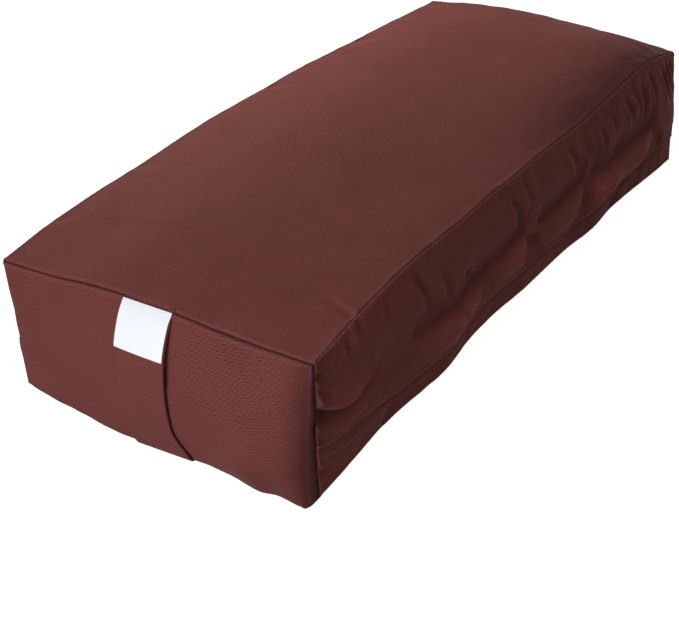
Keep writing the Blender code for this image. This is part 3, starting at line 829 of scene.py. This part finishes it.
def beside_zip(y, z, end, end_ease, rise, rise_ease):
    """1 beside the zip, falling to 0 at that distance along it and at that rise over or under."""
    along = eased((end - np.abs(y)) / end_ease)
    return along * eased((rise - np.abs(z - ZIP_HEIGHT)) / rise_ease)


def behind_strips(points, shares):
    """Draws the zipped side in behind the strips of cloth that cover it."""
    on = on_panel(shares, 0, 1)
    x, y, z = points[on].T
    x = x - STRIP_ROOM * eased(from_edges(shares[on], [1, 2]) / STRIP_ROOM_REACH)
    in_pocket = beside_zip(y, z, 288 * MM, 22 * MM, 31 * MM, 12 * MM)
    points[on, 0] = x + in_pocket * np.minimum(0, ZIP_POCKET_X - x)
    return points


SEAM_HIGHLIGHT, SEAM_HIGHLIGHT_PLACE, SEAM_HIGHLIGHT_REACH = 0.14, 2.4 * MM, 0.9 * MM

cover_mesh, cover_shares = stuffed_block("cover", COVER_CELLS)
cover_points = folded(stuffed(cover_shares), cover_shares)
cover_from_seam = from_seam(cover_shares)
lay_weave(cover_mesh, cover_shares)
# Each point's distance to its seam, for the twill's painted seam shade.
mark(cover_mesh, "from_seam", cover_from_seam)
# Painted highlight on the ridge beside each seam.
mark(cover_mesh, "painted_highlight", SEAM_HIGHLIGHT * bump(cover_from_seam, SEAM_HIGHLIGHT_PLACE, SEAM_HIGHLIGHT_REACH))
mark(cover_mesh, "ribs_shown", ribs_shown(cover_shares, cover_points))
# Painted shade where the handle end and the top roll down to their right seams.
mark(cover_mesh, "painted_shading", painted_shade_by_right_seams(cover_shares))
place_points(cover_mesh, behind_strips(cover_points, cover_shares))
cover = show("cover", cover_mesh, twill("cover twill", COVER_RED_BROWN))
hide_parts("cover_top", "cover_bottom", "cover_end_with_handle", "cover_end_plain",
            "cover_side_plain")
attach(cover, "bolster")


# The zipped side: two strips of the same twill. The upper one hangs from the top seam, is hemmed
# double at its lower edge and laps over the zip; the lower one comes up from the bottom seam and
# is sewn to the zip's tape behind the lap.

LAP_CLOTH, LAP_HEM_CLOTH, LAP_HEM_FOLD = 1.1 * MM, 1.8 * MM, 10 * MM
# The lap stays outside this X, where the slider and its lifted tab run behind it.
CLEAR_OF_ZIP_X, CLEAR_OF_TAB, CLEAR_SOFTLY = 147.4 * MM, 2.5 * MM, 0.5 * MM

# All places on this side are in Y and Z, in mm. First the line of the hem.
LAP_HEM = [
    (-349, 58), (-333.1, 51.6), (-312.7, 47.8), (-291.5, 45.5), (-275, 42.5), (-258.4, 40.1),
    (-240, 36.6), (-223.6, 34), (-182.9, 32.2), (-148.6, 30.5), (-122.3, 34.8), (-100, 39.5),
    (-81.3, 42.5), (-48.5, 40.8), (-14.3, 38.5), (22.6, 40.5), (72.3, 35), (108.3, 37.2),
    (146.9, 36.2), (220, 37.2), (316.5, 38.5), (349, 36),
]
# Each crease across the middle: its line, how far the cloth stands out below it, and its fades.
MID_CREASES = [
    ([(-220, 82.1), (-203.3, 76.4), (-178.9, 74), (-151.5, 72.7), (-136.5, 71), (-119.1, 75.4),
      (-89.3, 71.6), (-80.2, 73.8)], 6.4, (0.5, 0.25)),
    ([(-93, 72.8), (-57.7, 76.8), (-23.1, 82.6), (-12, 81)], 8.4, (0.8, 0.16)),
    ([(2, 80), (43.9, 76.9), (82.6, 82), (109, 80.6)], 4.6, (0.6, 0.2)),
    ([(111, 80.6), (129.2, 80.4), (154.3, 74.4), (178.8, 75.4), (209.6, 74.1), (241.3, 72.8),
      (262.7, 73.6), (285, 70)], 9.8, (0.24, 0.3)),
]
# Each fold that drags down from the top seam: its line, its depth and its half width.
DRAG_FOLDS = [
    ([(-291.6, 137.9), (-292, 122.5)], 1.2, 3.5),
    ([(-217.7, 142), (-201.9, 115.1), (-185.3, 85.5)], 1.7, 4.2),
    ([(-180.4, 125.5), (-166.3, 106.5), (-148.4, 78.7)], 1.5, 4.2),
    ([(-126.9, 99.3), (-119.4, 80.4)], 1.6, 3.6),
    ([(-80, 71.7), (-73.8, 42)], 1.4, 3.2),
    ([(-142.8, 69.1), (-123.8, 41.5)], 0.8, 4.5),
    ([(-51.5, 133.9), (-35.7, 108.9), (-19.2, 82.7)], 1.8, 4.2),
    ([(-29.3, 141.7), (-17.5, 122.3), (-5.3, 102.4)], 1, 3.6),
    ([(61.2, 136.3), (80.3, 111.7), (100.3, 86)], 1.4, 4.2),
    ([(97.4, 130.3), (122.5, 91.6)], 1.2, 3.6),
    ([(130.7, 130), (156.7, 87.4)], 1.3, 3.6),
    ([(156, 133), (180, 93)], 0.9, 3.2),
    ([(191.8, 136), (226.9, 89.3)], 1.6, 3.6),
    ([(212, 137), (238, 100)], 1, 3),
    ([(234.2, 138), (262.1, 76)], 1.6, 3.6),
    ([(256, 138), (282, 96)], 1.1, 3),
    ([(287.1, 134), (336.3, 73.6)], 1.8, 3.6),
    ([(303.5, 133), (347.2, 76.6)], 1.4, 3.2),
    ([(320, 129), (344, 98)], 1.1, 2.8),
    ([(-306, 131), (-303, 108)], 0.9, 3.6),
    ([(-256, 136), (-252, 113)], 0.9, 4),
]
# The deep crease near the handle end and two small ones above it, then the dip under the middle,
# the swell over the far part of the hem and the dip beyond it.
LAP_FOLDS = [
    ([(-258, 89), (-266, 82.5), (-272.7, 78.6), (-281, 75.6), (-290.8, 73.1), (-298, 71.2),
      (-304.9, 70.4), (-312, 70.7), (-318.7, 72.1), (-327, 75.6), (-335.2, 79.8), (-343, 85),
      (-350, 91)], 5.2, 7, 2.4, 1.6, 0, (0.45, 0), 5, 3, 15),
    ([(-350.3, 115), (-340, 114.3), (-331, 113)], 3, 3.2, 3, 1, 0, (0, 0.6)),
    ([(-320, 90), (-326, 91.8), (-334.4, 96), (-348, 107)], 1.8, 4, 2.6, 0, 0, (0.5, 0), 1, 3, 6),
    ([(-22.9, 79), (0, 70), (18.4, 42.7)], 1.6, 4, 6, 1.2, 0, (0.2, 0.3)),
    ([(125, 60), (150, 58), (180, 56)], -2.4, 12, 12, 0, 0, (0.4, 0.4)),
    ([(270, 70), (296, 52), (293, 38)], 1.8, 6, 6, 0.6, 0, (0.2, 0.3)),
]
HELD_AT_HEM, FREE_OVER_HEM = 0.2, 18 * MM

hem_y, hem_z = np.array(LAP_HEM).T * MM


def lap_folds(places):
    """How far the folds of the upper strip move it out, by their places in Y and Z."""
    push = sum(fold(places, *one) for one in LAP_FOLDS)
    stands_out = np.zeros(len(places))
    for crease, out, fades in MID_CREASES:
        push += fold(places, crease, 3.6, 21, 2, 0, 0, (0.10, 0.08))
        stands_out += fold(places, crease, 0, 21, 2, 0, 0, fades, out, 6.2, 56)
    for line, depth, width in DRAG_FOLDS:
        push += fold(places, line, 1.4 * depth, 1.2 * width, width, 0.5 * depth, 0.8 * depth,
                     (0.30, 0.55))
    over_hem = places[:, 1] - np.interp(places[:, 0], hem_y, hem_z)
    free = HELD_AT_HEM + (1 - HELD_AT_HEM) * eased(over_hem / FREE_OVER_HEM)
    return push + stands_out * free


def panel_grid(name, columns, rows):
    """A flat grid of even cells from -1 to 1, as a mesh, and its points' places on it."""
    grid = bmesh.new()
    bmesh.ops.create_grid(grid, x_segments=columns, y_segments=rows, size=1)
    mesh = bpy.data.meshes.new(name)
    grid.to_mesh(mesh)
    grid.free()
    mesh.shade_smooth()
    return mesh, values_of(mesh.vertices, "co", 3)[:, :2].astype(float)


def lay_flat(mesh, across, up, slant=0):
    """Gives a single panel its flat map in metres, turned so that its ribs slant."""
    cos, sin = math.cos(math.radians(slant)), math.sin(math.radians(slant))
    flat = np.stack([across, up], axis=1) @ np.array(((cos, -sin), (sin, cos)))
    keep_map(mesh, flat[values_of(mesh.loops, "vertex_index", kind=np.int32)])


def thicken(piece, cloth, weights=None):
    """Gives a laid panel its cloth's thickness, inwards, and rounds its cut or folded edges."""
    wall = piece.modifiers.new("cloth", "SOLIDIFY")
    wall.thickness = cloth
    wall.offset = -1
    wall.use_even_offset = False
    if weights is not None:
        group = piece.vertex_groups.new(name="full thickness")
        for spot, weight in enumerate(weights):
            group.add([spot], float(weight), "REPLACE")
        wall.vertex_group = group.name
    edge = piece.modifiers.new("rounded edges", "BEVEL")
    edge.width = cloth * 0.35
    edge.segments = 2
    edge.limit_method = "ANGLE"
    edge.angle_limit = math.radians(50)


LOW_SEAM_HEIGHT, SIDE_RISE, SIDE_ARCH = 9.5 * MM, 118 * MM, 17 * MM


def side_shares(along, up):
    """Shares of points on the zipped side, by those along it and up it."""
    return np.stack([np.ones_like(along), along, up], axis=1)


def share_up(height, along):
    """The share up the zipped side of a height over the floor; its top seam is an arch."""
    return (height - LOW_SEAM_HEIGHT) / (SIDE_RISE + SIDE_ARCH * (1 - along**2)) * 2 - 1


SEWN_EDGE = 3 * MM
# Painted light and shade: a fold that stands out is painted lighter and one that lies deep darker,
# up to these shares.
PAINTED_LIGHT_BY_FOLD, DEEPEST, PALEST = 12 * MM, -0.34, 0.55
STRIP_RIBS = 0.5

lap_mesh, lap_spots = panel_grid("cover_side_upper", 460, 92)
lap_along = crowded(lap_spots[:, 0])
side_y = HALF_SIZES[1] * lap_along
hem_share = share_up(np.interp(side_y, hem_y, hem_z), lap_along)
lap_rise = (crowded(lap_spots[:, 1]) + 1) / 2
lap_up = hem_share + (1 - hem_share) * lap_rise
lap_points = stuffed(side_shares(lap_along, lap_up))
lap_x, lap_y, lap_z = lap_points.T
lap_from_end = (1 - np.abs(lap_along)) * HALF_SIZES[1]
lap_from_top = (1 - lap_up) * HALF_SIZES[2]
lap_inner = np.minimum(lap_from_end, lap_from_top)
above_hem = (lap_up - hem_share) * HALF_SIZES[2]

# It swells softly under the top seam, and its folds go no deeper than the room behind it.
lap_room = STRIP_ROOM * eased(lap_inner / STRIP_ROOM_REACH) - LAP_HEM_CLOTH - 0.3 * MM
lap_push = lap_folds(lap_points[:, 1:])
# Painted light and shade by how far each fold stands out or lies deep.
lap_painted_shading = np.clip(lap_push / PAINTED_LIGHT_BY_FOLD, DEEPEST, PALEST)
# Painted highlight: a lighter patch on the swell under the far mid crease.
lap_painted_shading += 0.20 * bump(lap_y, 138.6 * MM, 20 * MM) * bump(lap_z, 63.6 * MM, 12 * MM)
# Painted shade: darker towards the corner by the handle end.
painted_shade_by_handle = 0.42 * bump((1 + lap_along) * HALF_SIZES[1], 0, 13 * MM)
lap_painted_shading = (1 + lap_painted_shading) * (1 - painted_shade_by_handle) - 1
lap_push += 3.6 * MM * eased(lap_from_end / (70 * MM)) * bump(lap_z, 114 * MM, 20 * MM)
lap_push *= np.minimum(1, lap_inner / SEWN_EDGE)
lap_x += np.maximum(lap_push, -np.maximum(0, lap_room))

# Its hem is a little thicker and rolls, and it keeps clear of the slider all along the zip.
hem_roll = bump(above_hem, 1.2 * MM, 1.6 * MM) * np.minimum(1, lap_inner / (4 * MM))
lap_x += 0.4 * MM * eased(lap_inner / (10 * MM)) + 0.8 * MM * hem_roll
over_zip = eased((285 * MM - np.abs(lap_y)) / (12 * MM)) * eased((83 * MM - lap_z) / (7 * MM))
clear = lap_x - CLEAR_OF_ZIP_X - CLEAR_OF_TAB * bump(lap_z, ZIP_HEIGHT, 10 * MM)
lap_x += over_zip * (np.logaddexp(0, clear / CLEAR_SOFTLY) * CLEAR_SOFTLY - clear)
place_points(lap_mesh, lap_points)
# Painted highlight: a pale line along the top seam and along the hem.
lap_painted_highlight = 0.55 * bump(lap_from_top, 0, 0.7 * MM) + 0.75 * bump(above_hem, 0.3 * MM, 0.7 * MM)
mark(lap_mesh, "from_seam", np.minimum(lap_from_end, lap_from_top + 1.3 * MM))
mark(lap_mesh, "painted_highlight", lap_painted_highlight * eased(lap_from_end / SEWN_EDGE))
mark(lap_mesh, "painted_shading", lap_painted_shading)
mark(lap_mesh, "ribs_shown", np.full(len(lap_up), STRIP_RIBS))
lay_flat(lap_mesh, side_y, lap_up * HALF_SIZES[2], SIDE_PANEL_SLANT)
lap = show("cover_side_upper_cloth", lap_mesh, twill("upper strip twill", COVER_RED_BROWN))
single = LAP_CLOTH / LAP_HEM_CLOTH
thicken(lap, LAP_HEM_CLOTH, single + (1 - single) * (above_hem < LAP_HEM_FOLD))
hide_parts("cover_side_upper")
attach(lap, "bolster")

STRIP_CLOTH, STRIP_TOP = 1.0 * MM, 53.7 * MM
STRIP_TAPE_X = 142.2 * MM
# The ridge that the seam's allowance presses through the strip, in Y and Z, in mm.
STRIP_RIDGE = [
    (-343.7, 42.4), (-323.4, 38.5), (-302.5, 35.5), (-273.5, 30.3), (-254.7, 31.8),
    (-215.5, 25.2), (-174.2, 23.5), (-139.6, 22),
]
STRIP_RIDGE_HEIGHT, STRIP_RIDGE_HALF = 0.7 * MM, 1.0 * MM
# The crease at the corner by the handle, and two short folds up from the bottom seam.
STRIP_FOLDS = [
    ([(-348, 32.3), (-337.7, 26.9), (-320.5, 24.9)], 2.6, 3, 3, 1, 0, (0.05, 0.4)),
    ([(188, 10), (204, 30)], 2, 6, 6, 0, 0, (0, 0.4)),
    ([(-246, 10), (-230, 33)], 1.6, 7, 7, 0, 0, (0, 0.4)),
]

strip_mesh, strip_spots = panel_grid("cover_side_lower", 400, 40)
strip_along = crowded(strip_spots[:, 0])
strip_far = HALF_SIZES[1] * np.abs(strip_along)
strip_top = STRIP_TOP + 9 * MM * eased((strip_far - 290 * MM) / (45 * MM))
strip_rise = (strip_spots[:, 1] + 1) / 2
strip_height = LOW_SEAM_HEIGHT + (strip_top - LOW_SEAM_HEIGHT) * strip_rise
strip_up = share_up(strip_height, strip_along)
strip_points = stuffed(side_shares(strip_along, strip_up))
strip_x, strip_y, strip_z = strip_points.T
strip_inner = np.minimum(HALF_SIZES[1] - strip_far, (1 + strip_up) * HALF_SIZES[2])

# It lies back under the lap, and further back where it is sewn to the tape.
over_hem = strip_z - np.interp(strip_y, hem_y, hem_z)
under_lap = eased((over_hem + 10 * MM) / (10 * MM))
strip_x -= 1.6 * MM * under_lap * eased(strip_inner / (6 * MM))
to_tape = eased((over_hem - 1 * MM) / (11 * MM)) * eased((300 * MM - np.abs(strip_y)) / (30 * MM))
strip_x += to_tape * np.minimum(0, STRIP_TAPE_X - strip_x)
from_ridge, along_ridge = beside_line(strip_points[:, 1:], STRIP_RIDGE)
ridge = bump(from_ridge, 0, STRIP_RIDGE_HALF) * eased((1 - along_ridge) / 0.3)
strip_push = sum(fold(strip_points[:, 1:], *one) for one in STRIP_FOLDS)
strip_push += STRIP_RIDGE_HEIGHT * ridge
strip_room = STRIP_ROOM * eased(strip_inner / STRIP_ROOM_REACH) - STRIP_CLOTH - 0.3 * MM
strip_push = np.maximum(strip_push, -np.maximum(0, strip_room))
strip_x += strip_push * np.minimum(1, strip_inner / SEWN_EDGE)
place_points(strip_mesh, strip_points)
mark(strip_mesh, "from_seam", strip_inner)
# Painted highlight along the ridge that the seam's allowance presses through.
mark(strip_mesh, "painted_highlight", 0.16 * ridge)
mark(strip_mesh, "ribs_shown", np.full(len(strip_up), STRIP_RIBS))
lay_flat(strip_mesh, HALF_SIZES[1] * strip_along, strip_height, SIDE_PANEL_SLANT)
strip = show("cover_side_lower_cloth", strip_mesh, twill("lower strip twill", COVER_RED_BROWN))
thicken(strip, STRIP_CLOTH)
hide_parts("cover_side_lower")
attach(strip, "bolster")


# The carry handle: a strap of the cover's twill, folded double and pressed flat, sewn into the
# top and the bottom seam of one end. It lies bowed over the end panel, and a hand lifts it.

STRAP_RED_BROWN = (0.156, 0.0425, 0.0365)
STRAP_HALF, STRAP_LENGTH, STRAP_CLOTH = 24 * MM, 150 * MM, 2.2 * MM
STRAP_CROWN, STRAP_SWEEP, STRAP_SPREAD, STRAP_LIFT = 0.6 * MM, 4 * MM, 6.5 * MM, 2.2 * MM
# Down its outer face, in mm: the height, and Y at the left and at the right edge.
STRAP_RUN = [
    (133.5, -344, -344.2), (131, -346.2, -346.6), (126, -351, -351.8), (112, -358.8, -359.8),
    (98, -363.6, -364.8), (76, -366, -367.6), (60, -366, -367.6), (46, -364.6, -366.2),
    (30, -362.2, -363.2), (15, -359, -359.5), (6, -357, -357.2), (1.6, -353.5, -353.5),
    (0.6, -347, -347),
]


def strap_point(side, run):
    """Points of the strap's outer face, from its left edge to its right and down its run."""
    height, left_y, right_y = np.array(STRAP_RUN).T * MM
    left, right = (np.stack([y, height], axis=1) for y in (left_y, right_y))
    lengths = np.hypot(*np.diff((left + right) / 2, axis=0).T)
    steps = np.concatenate([[0], np.cumsum(lengths)])
    steps /= steps[-1]
    share = (side + 1) / 2
    pull = share[:, None]
    y, z = (smooth(left, steps, run) * (1 - pull) + smooth(right, steps, run) * pull).T
    crown = STRAP_CROWN * (1 - side**2) * np.sin(np.pi * run)
    # Near the floor it sweeps to the right, and its right corner lifts a little.
    swept = eased((36 * MM - z) / (34 * MM))
    across = side * STRAP_HALF + swept * (STRAP_SWEEP + STRAP_SPREAD * share**2)
    lifted = STRAP_LIFT * share * eased((run - 0.80) / 0.12)
    return np.stack([across, y - crown, z + lifted], axis=1)


strap_mesh, strap_spots = panel_grid("carry_handle", 24, 72)
strap_side, strap_run = strap_spots[:, 0], (1 - strap_spots[:, 1]) / 2
place_points(strap_mesh, strap_point(strap_side, strap_run))
lay_flat(strap_mesh, strap_side * STRAP_HALF, strap_run * -STRAP_LENGTH)
# Painted seam shade: darker along the strap's long edges and at its top end.
mark(strap_mesh, "from_seam", np.minimum(
    (1 - np.abs(strap_side)) * STRAP_HALF + 0.9 * MM, strap_run * STRAP_LENGTH))
mark(strap_mesh, "ribs_shown", np.full(len(strap_run), 0.35))
strap = show("carry_handle_strap", strap_mesh, twill("handle twill", STRAP_RED_BROWN))
thicken(strap, STRAP_CLOTH)
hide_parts("carry_handle")
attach(strap, "bolster")


# The label: a bare white woven ribbon over the upper part of the strap, its ends folded under
# and sewn down with white thread.

LABEL_WHITE = (0.925, 0.915, 0.915)
LABEL_CLOTH = 0.7 * MM
# Its place on the strap, in shares of the half width and of the run.
LABEL_LEFT, LABEL_RIGHT = -0.985, 0.965
LABEL_START, LABEL_END = 0.026, 0.286
LABEL_OFF, LABEL_STEP = 1.2 * MM, 0.004

label_mesh, label_spots = panel_grid("handle_label", 30, 24)
label_side = LABEL_LEFT + (LABEL_RIGHT - LABEL_LEFT) * (label_spots[:, 0] + 1) / 2
label_run = LABEL_START + (LABEL_END - LABEL_START) * (1 - label_spots[:, 1]) / 2
ahead = strap_point(label_side, label_run + LABEL_STEP)
ahead -= strap_point(label_side, label_run - LABEL_STEP)
facing = np.cross(ahead, np.array((1.0, 0, 0)))
facing /= np.linalg.norm(facing, axis=1)[:, None]
facing *= np.where(facing[:, 1] > 0, -1, 1)[:, None]
off = LABEL_OFF + LABEL_OFF * np.exp(-label_run / 0.05)
place_points(label_mesh, strap_point(label_side, label_run) + facing * off[:, None])
lay_flat(label_mesh, label_side * STRAP_HALF, -label_run * STRAP_LENGTH)

LABEL_YARNS, LABEL_PICKS = 0.5 * MM, 0.4 * MM
white_weave, start = bare("label weave")
map_of = start.node("UVMap", {"uv_map": "weave"})
across, down = split(map_of)
yarns = wave(across, LABEL_YARNS) * 0.5 + wave(down, LABEL_PICKS) * 0.5
mottle = noise(map_of, 500.0)
shade = 0.97 + yarns * 0.02 + mottle * 0.05
surface(start, yarns, 0.15, 0.0001, {
    "Base Color": tinted(start, LABEL_WHITE, shade), "Roughness": 0.55 + mottle * 0.1,
    "Sheen Weight": 0.1})
label = show("handle_label_ribbon", label_mesh, white_weave)
thicken(label, LABEL_CLOTH)
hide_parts("handle_label")
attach(label, "bolster")


# The inner cushion: a plain case of undyed muslin, sewn shut round three layers of firm cotton.
# It fills the cover and gives way to the zip behind the lap.

MUSLIN, COTTON = (0.62, 0.57, 0.48), (0.74, 0.71, 0.64)
MUSLIN_PITCH, COTTON_PITCH = 1.2 * MM, 4 * MM
CASE_INSET, FILL_INSET, ZIPPED_SIDE_INSET = 6.2 * MM, 8.2 * MM, 5.2 * MM
CASE_CELLS, LAYER_CELLS = (36, 80, 18), (30, 64, 16)


def inner_points(shares, inset):
    """The stuffed form, smaller by an inset, and drawn in behind the zip."""
    points = stuffed(shares) - np.sign(shares) * np.minimum(1, np.abs(shares) * 1.02) * inset
    x, y, z = points.T
    x -= ZIPPED_SIDE_INSET * np.clip(shares[:, 0], 0, 1)
    behind = beside_zip(y, z, 290 * MM, 20 * MM, 35 * MM, 14 * MM)
    x += behind * np.minimum(0, ZIP_POCKET_X - inset + 4 * MM - x)
    return points


def loose_cloth(name, colour, pitch, rough):
    """Plain weave or loose fibre, read from the piece's own place."""
    material, start = bare(name)
    place = start.node("TexCoord", out=3)
    fibres = noise(place, 1 / pitch, 4.0, "3D")
    shade = 0.90 + fibres * 0.14 + noise(place, 30.0, 2.0, "3D") * 0.08
    surface(start, fibres, 0.4, 0.0004, {
        "Base Color": tinted(start, colour, shade), "Roughness": rough, "Sheen Weight": 0.1})
    return material


case_mesh, case_shares = stuffed_block("inner_case", CASE_CELLS)
lay_weave(case_mesh, case_shares)
place_points(case_mesh, inner_points(case_shares, CASE_INSET))
case = show("inner_case", case_mesh, loose_cloth("muslin", MUSLIN, MUSLIN_PITCH, 0.9))
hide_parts("liner_top", "liner_bottom", "liner_band")
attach(case, "bolster")

# Each layer is the whole form cut level: its lowest and its highest place, None where it is whole.
LAYER_CUT_LOW, LAYER_CUT_HIGH, LAYER_GAP = 45 * MM, 86 * MM, 0.6 * MM

for name, node, low, high in (
    ("cotton_layer_lower", "fill_batt_lower", None, LAYER_CUT_LOW),
    ("cotton_layer_middle", "fill_batt_middle", LAYER_CUT_LOW, LAYER_CUT_HIGH),
    ("cotton_layer_upper", "fill_batt_upper", LAYER_CUT_HIGH, None),
):
    layer_mesh, layer_shares = stuffed_block(name, LAYER_CELLS)
    place_points(layer_mesh, inner_points(layer_shares, FILL_INSET))
    layer = bmesh.new()
    layer.from_mesh(layer_mesh)
    for height, way in ((low, -1), (high, 1)):
        if height is None:
            continue
        cut = bmesh.ops.bisect_plane(
            layer, geom=[*layer.verts, *layer.edges, *layer.faces],
            plane_co=(0, 0, height - way * LAYER_GAP), plane_no=(0, 0, way), clear_outer=True)
        rim = [part for part in cut["geom_cut"] if isinstance(part, bmesh.types.BMEdge)]
        filled = bmesh.ops.contextual_create(layer, geom=rim)
        bmesh.ops.triangulate(layer, faces=filled["faces"])
    bmesh.ops.recalc_face_normals(layer, faces=layer.faces)
    layer.to_mesh(layer_mesh)
    layer.free()
    batt = show(name, layer_mesh, loose_cloth(name, COTTON, COTTON_PITCH, 1.0))
    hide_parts(node)
    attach(batt, "bolster")


# The zip: two woven tapes, each with a row of nylon coil along its edge, hidden behind the lap.
# The lower tape is sewn to the lower strip, the upper one to the back of the lap.

TAPE_BROWN, COIL_BROWN = (0.110, 0.036, 0.031), (0.085, 0.030, 0.026)
TAPE_X, TAPE_CLOTH = 0.1410, 0.5 * MM
TAPE_RUN, TAPE_RISE = 0.6 * MM, 0.5 * MM
COIL_X, COIL_PITCH, COIL_OFF, COIL_END = 142.1 * MM, 1.5 * MM, 1.9 * MM, 3.5 * MM
COIL_LOOP, COIL_ROUND = (1.6 * MM, 0.9 * MM, 2.2 * MM), 0.28 * MM

tape_finish, start = bare("zip tape")
run_of, rise_of = split(start.node("UVMap", {"uv_map": "weave"}))
turns = run_of * (2 * math.pi / TAPE_RUN) + rise_of * (2 * math.pi / TAPE_RISE)
herringbone = turns.math("SINE", turns) * 0.5 + 0.5
surface(start, herringbone, 0.3, 0.0001, {
    "Base Color": tinted(start, TAPE_BROWN, 0.85 + herringbone * 0.3),
    "Roughness": 0.85 - herringbone * 0.05})

coil_finish, start = bare("nylon coil")
speckle = noise(start.node("TexCoord", out=3), 900.0, 1.0, "3D")
nylon = start.node("BsdfPrincipled", None, {
    "Base Color": tinted(start, COIL_BROWN, 0.9 + speckle * 0.2),
    "Roughness": 0.38 + speckle * 0.1, "IOR": 1.53})
start.node("OutputMaterial", sockets={"Surface": nylon})

# Each tape's section, from its lower edge up, in X and Z, in metres.
for name, node, section in (
    ("zip_tape_lower_ribbon", "zip_tape_lower",
     [(TAPE_X, 0.0422), (TAPE_X, 0.0562)]),
    ("zip_tape_upper_ribbon", "zip_tape_upper",
     [(TAPE_X, 0.0578), (TAPE_X, 0.0615), (0.1436, 0.0705), (0.1438, 0.0718)]),
):
    section = np.array(section)
    rises = np.concatenate([[0], np.cumsum(np.hypot(*np.diff(section, axis=0).T))])
    tape_mesh, tape_spots = panel_grid(name, 120, 8)
    tape_rise = (tape_spots[:, 1] + 1) / 2 * rises[-1]
    tape_y = tape_spots[:, 0] * ZIP_HALF
    tape_x, tape_z = (np.interp(tape_rise, rises, along) for along in section.T)
    place_points(tape_mesh, np.stack([tape_x, tape_y, tape_z], axis=1))
    lay_flat(tape_mesh, tape_y, tape_rise)
    tape = show(name, tape_mesh, tape_finish)
    thicken(tape, TAPE_CLOTH)
    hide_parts(node)
    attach(tape, "bolster")

for name, node, height in (
    ("zip_coil_lower", "zip_teeth_lower", ZIP_HEIGHT - COIL_OFF),
    ("zip_coil_upper", "zip_teeth_upper", ZIP_HEIGHT + COIL_OFF),
):
    loop = bmesh.new()
    bmesh.ops.create_cube(loop, size=1)
    bmesh.ops.scale(loop, vec=COIL_LOOP, verts=loop.verts)
    bmesh.ops.bevel(loop, geom=loop.edges, offset=COIL_ROUND, offset_type="OFFSET", segments=1,
                    profile=0.5, affect="EDGES", material=-1)
    run = ZIP_HALF - COIL_END
    bmesh.ops.translate(loop, vec=(COIL_X, -run, height), verts=loop.verts)
    coil_mesh = bpy.data.meshes.new(name)
    loop.to_mesh(coil_mesh)
    loop.free()
    coil = show(name, coil_mesh, coil_finish)
    row = coil.modifiers.new("row of loops", "ARRAY")
    row.use_relative_offset = False
    row.use_constant_offset = True
    row.constant_offset_displace = (0, COIL_PITCH, 0)
    row.count = int(2 * run / COIL_PITCH) + 1
    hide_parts(node)
    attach(coil, "bolster")


# The zip's metal: stops, slider and pull tab, cast in zinc and enamelled in the cover's colour.

ENAMEL_BROWN, WORN_ZINC = (0.120, 0.058, 0.048), (0.32, 0.27, 0.25)

enamel, start = bare("enamelled zinc")
wear = noise(start.node("TexCoord", out=3), 1400.0, 3.0, "3D")
wear_and_painted_highlight = start.node("ValToRGB", {"stops": [(0.62, ENAMEL_BROWN), (0.74, WORN_ZINC)]}, {"Fac": wear})
cast = start.node("BsdfPrincipled", None, {
    "Base Color": wear_and_painted_highlight, "Metallic": 0.8, "Roughness": 0.34 + wear * 0.12})
start.node("OutputMaterial", sockets={"Surface": cast})
for node in ("zip_bottom_stop", "zip_top_stop_upper", "zip_top_stop_lower", "zip_slider",
             "zip_pull_tab"):
    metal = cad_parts[node]
    metal.data.materials.clear()
    metal.data.materials.append(enamel)
